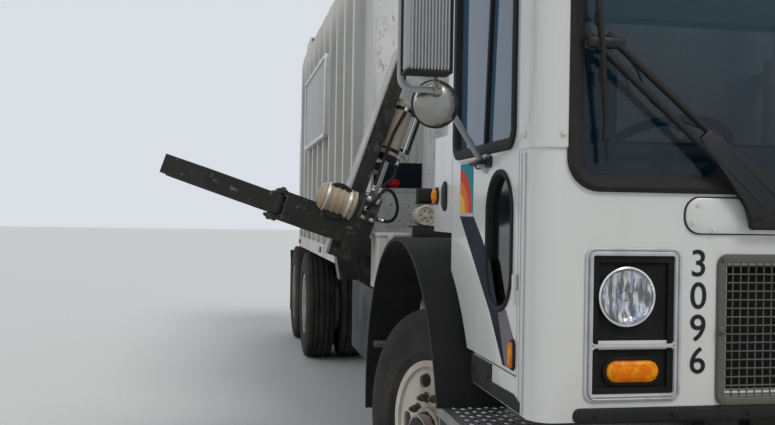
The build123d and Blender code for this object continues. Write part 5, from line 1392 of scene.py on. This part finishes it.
# Stage, light and camera
def make_floor():
    """Pale floor."""
    bpy.ops.mesh.primitive_plane_add(size=120, location=(0, 0, 0))
    floor = bpy.context.object
    floor.name = "floor"
    look = Look("floor", (0.62, 0.62, 0.61), 0.9)
    look.base = (0.61, 0.61, 0.60)
    look.stain(look.patches(30, 4, 0.3, 0.7), (0.64, 0.64, 0.635))
    floor.data.materials.append(LOOKS["floor"])


def make_world():
    """A soft sky, and a brighter one that only the camera, reflections and glass show."""
    world = bpy.data.worlds.new("studio")
    bpy.context.scene.world = world
    world.use_nodes = True
    tree = world.node_tree
    light, seen = tree.nodes["Background"], tree.nodes.new("ShaderNodeBackground")
    for sky, colour, strength in ((light, (0.86, 0.93, 1.0, 1), 0.42), (seen, (0.70, 0.74, 0.79, 1), 1.0)):
        sky.inputs["Color"].default_value = colour
        sky.inputs["Strength"].default_value = strength
    path, mix = tree.nodes.new("ShaderNodeLightPath"), tree.nodes.new("ShaderNodeMixShader")
    shown = path.outputs["Is Camera Ray"]
    for ray in ("Is Glossy Ray", "Is Transmission Ray"):
        either = tree.nodes.new("ShaderNodeMath")
        either.operation = "MAXIMUM"
        tree.links.new(shown, either.inputs[0])
        tree.links.new(path.outputs[ray], either.inputs[1])
        shown = either.outputs[0]
    for index, source in enumerate((shown, light.outputs[0], seen.outputs[0])):
        tree.links.new(source, mix.inputs[index])
    tree.links.new(mix.outputs[0], tree.nodes["World Output"].inputs["Surface"])


def add_sun(name, toward, strength, spread_angle, colour=(1, 1, 1)):
    """Soft light from a wide patch of the sky in one direction."""
    data = bpy.data.lights.new(name, "SUN")
    data.energy = strength
    data.angle = radians(spread_angle)
    data.color = colour
    lamp = bpy.data.objects.new(name, data)
    bpy.context.scene.collection.objects.link(lamp)
    lamp.rotation_euler = (-Vector(toward)).to_track_quat("-Z", "Y").to_euler()


def make_camera():
    """The photograph's view: standing just ahead of the kerb-side corner of the cab."""
    yaw, pitch, roll = radians(10.256), radians(0.053), radians(0.92)
    forward = Vector((-cos(yaw) * cos(pitch), sin(yaw) * cos(pitch), -sin(pitch)))
    right = Vector((sin(yaw), cos(yaw), 0))
    down = forward.cross(right)
    tilted_right = right * cos(roll) - down * sin(roll)
    tilted_down = right * sin(roll) + down * cos(roll)
    data = bpy.data.cameras.new("camera")
    data.lens = 41.42
    data.sensor_width = 36
    data.clip_end = 300
    camera = bpy.data.objects.new("camera", data)
    bpy.context.scene.collection.objects.link(camera)
    axes = Matrix((tilted_right, -tilted_down, -forward)).transposed().to_4x4()
    camera.matrix_world = Matrix.Translation(TRUCK + Vector((2.426, -2.019, 1.479))) @ axes
    bpy.context.scene.camera = camera


make_paints()
make_dark_looks()
make_metals_and_glass()
dress_nodes()

make_tyres()
make_hub_trim()
make_window_seals()
make_pillar_panels()
make_wiper_covers()
make_number()
make_headlamps()
make_grille()
make_under_strip()
make_wipers()
make_door_trim()
make_livery()
make_markers()
make_mirrors()
make_seats()
make_sign()
make_bay_panel()
make_guard_strips_and_shade_plates()
make_navy_bands()
make_bay_reflector()
make_lift_cylinder()
make_tail_lamps()
make_rail_edges()
make_tilt_drum()
make_hose_ends()
make_valve_trim()
make_grip_bolts()
make_bay_shelf()
make_bay_tank()
make_bay_box()
make_side_box_lid()
make_body_welds()
make_side_lamps()
make_bay_lips()
make_step_treads()

make_floor()
make_world()
add_sun("key", (0.62, 0.30, 0.80), 1.35, 24, (1.0, 0.97, 0.93))
add_sun("kerb", (0.10, -0.80, 0.55), 0.45, 40)
add_sun("rear", (-0.85, 0.20, 0.50), 0.5, 40)
make_camera()
bpy.context.scene.view_settings.view_transform = "Standard"
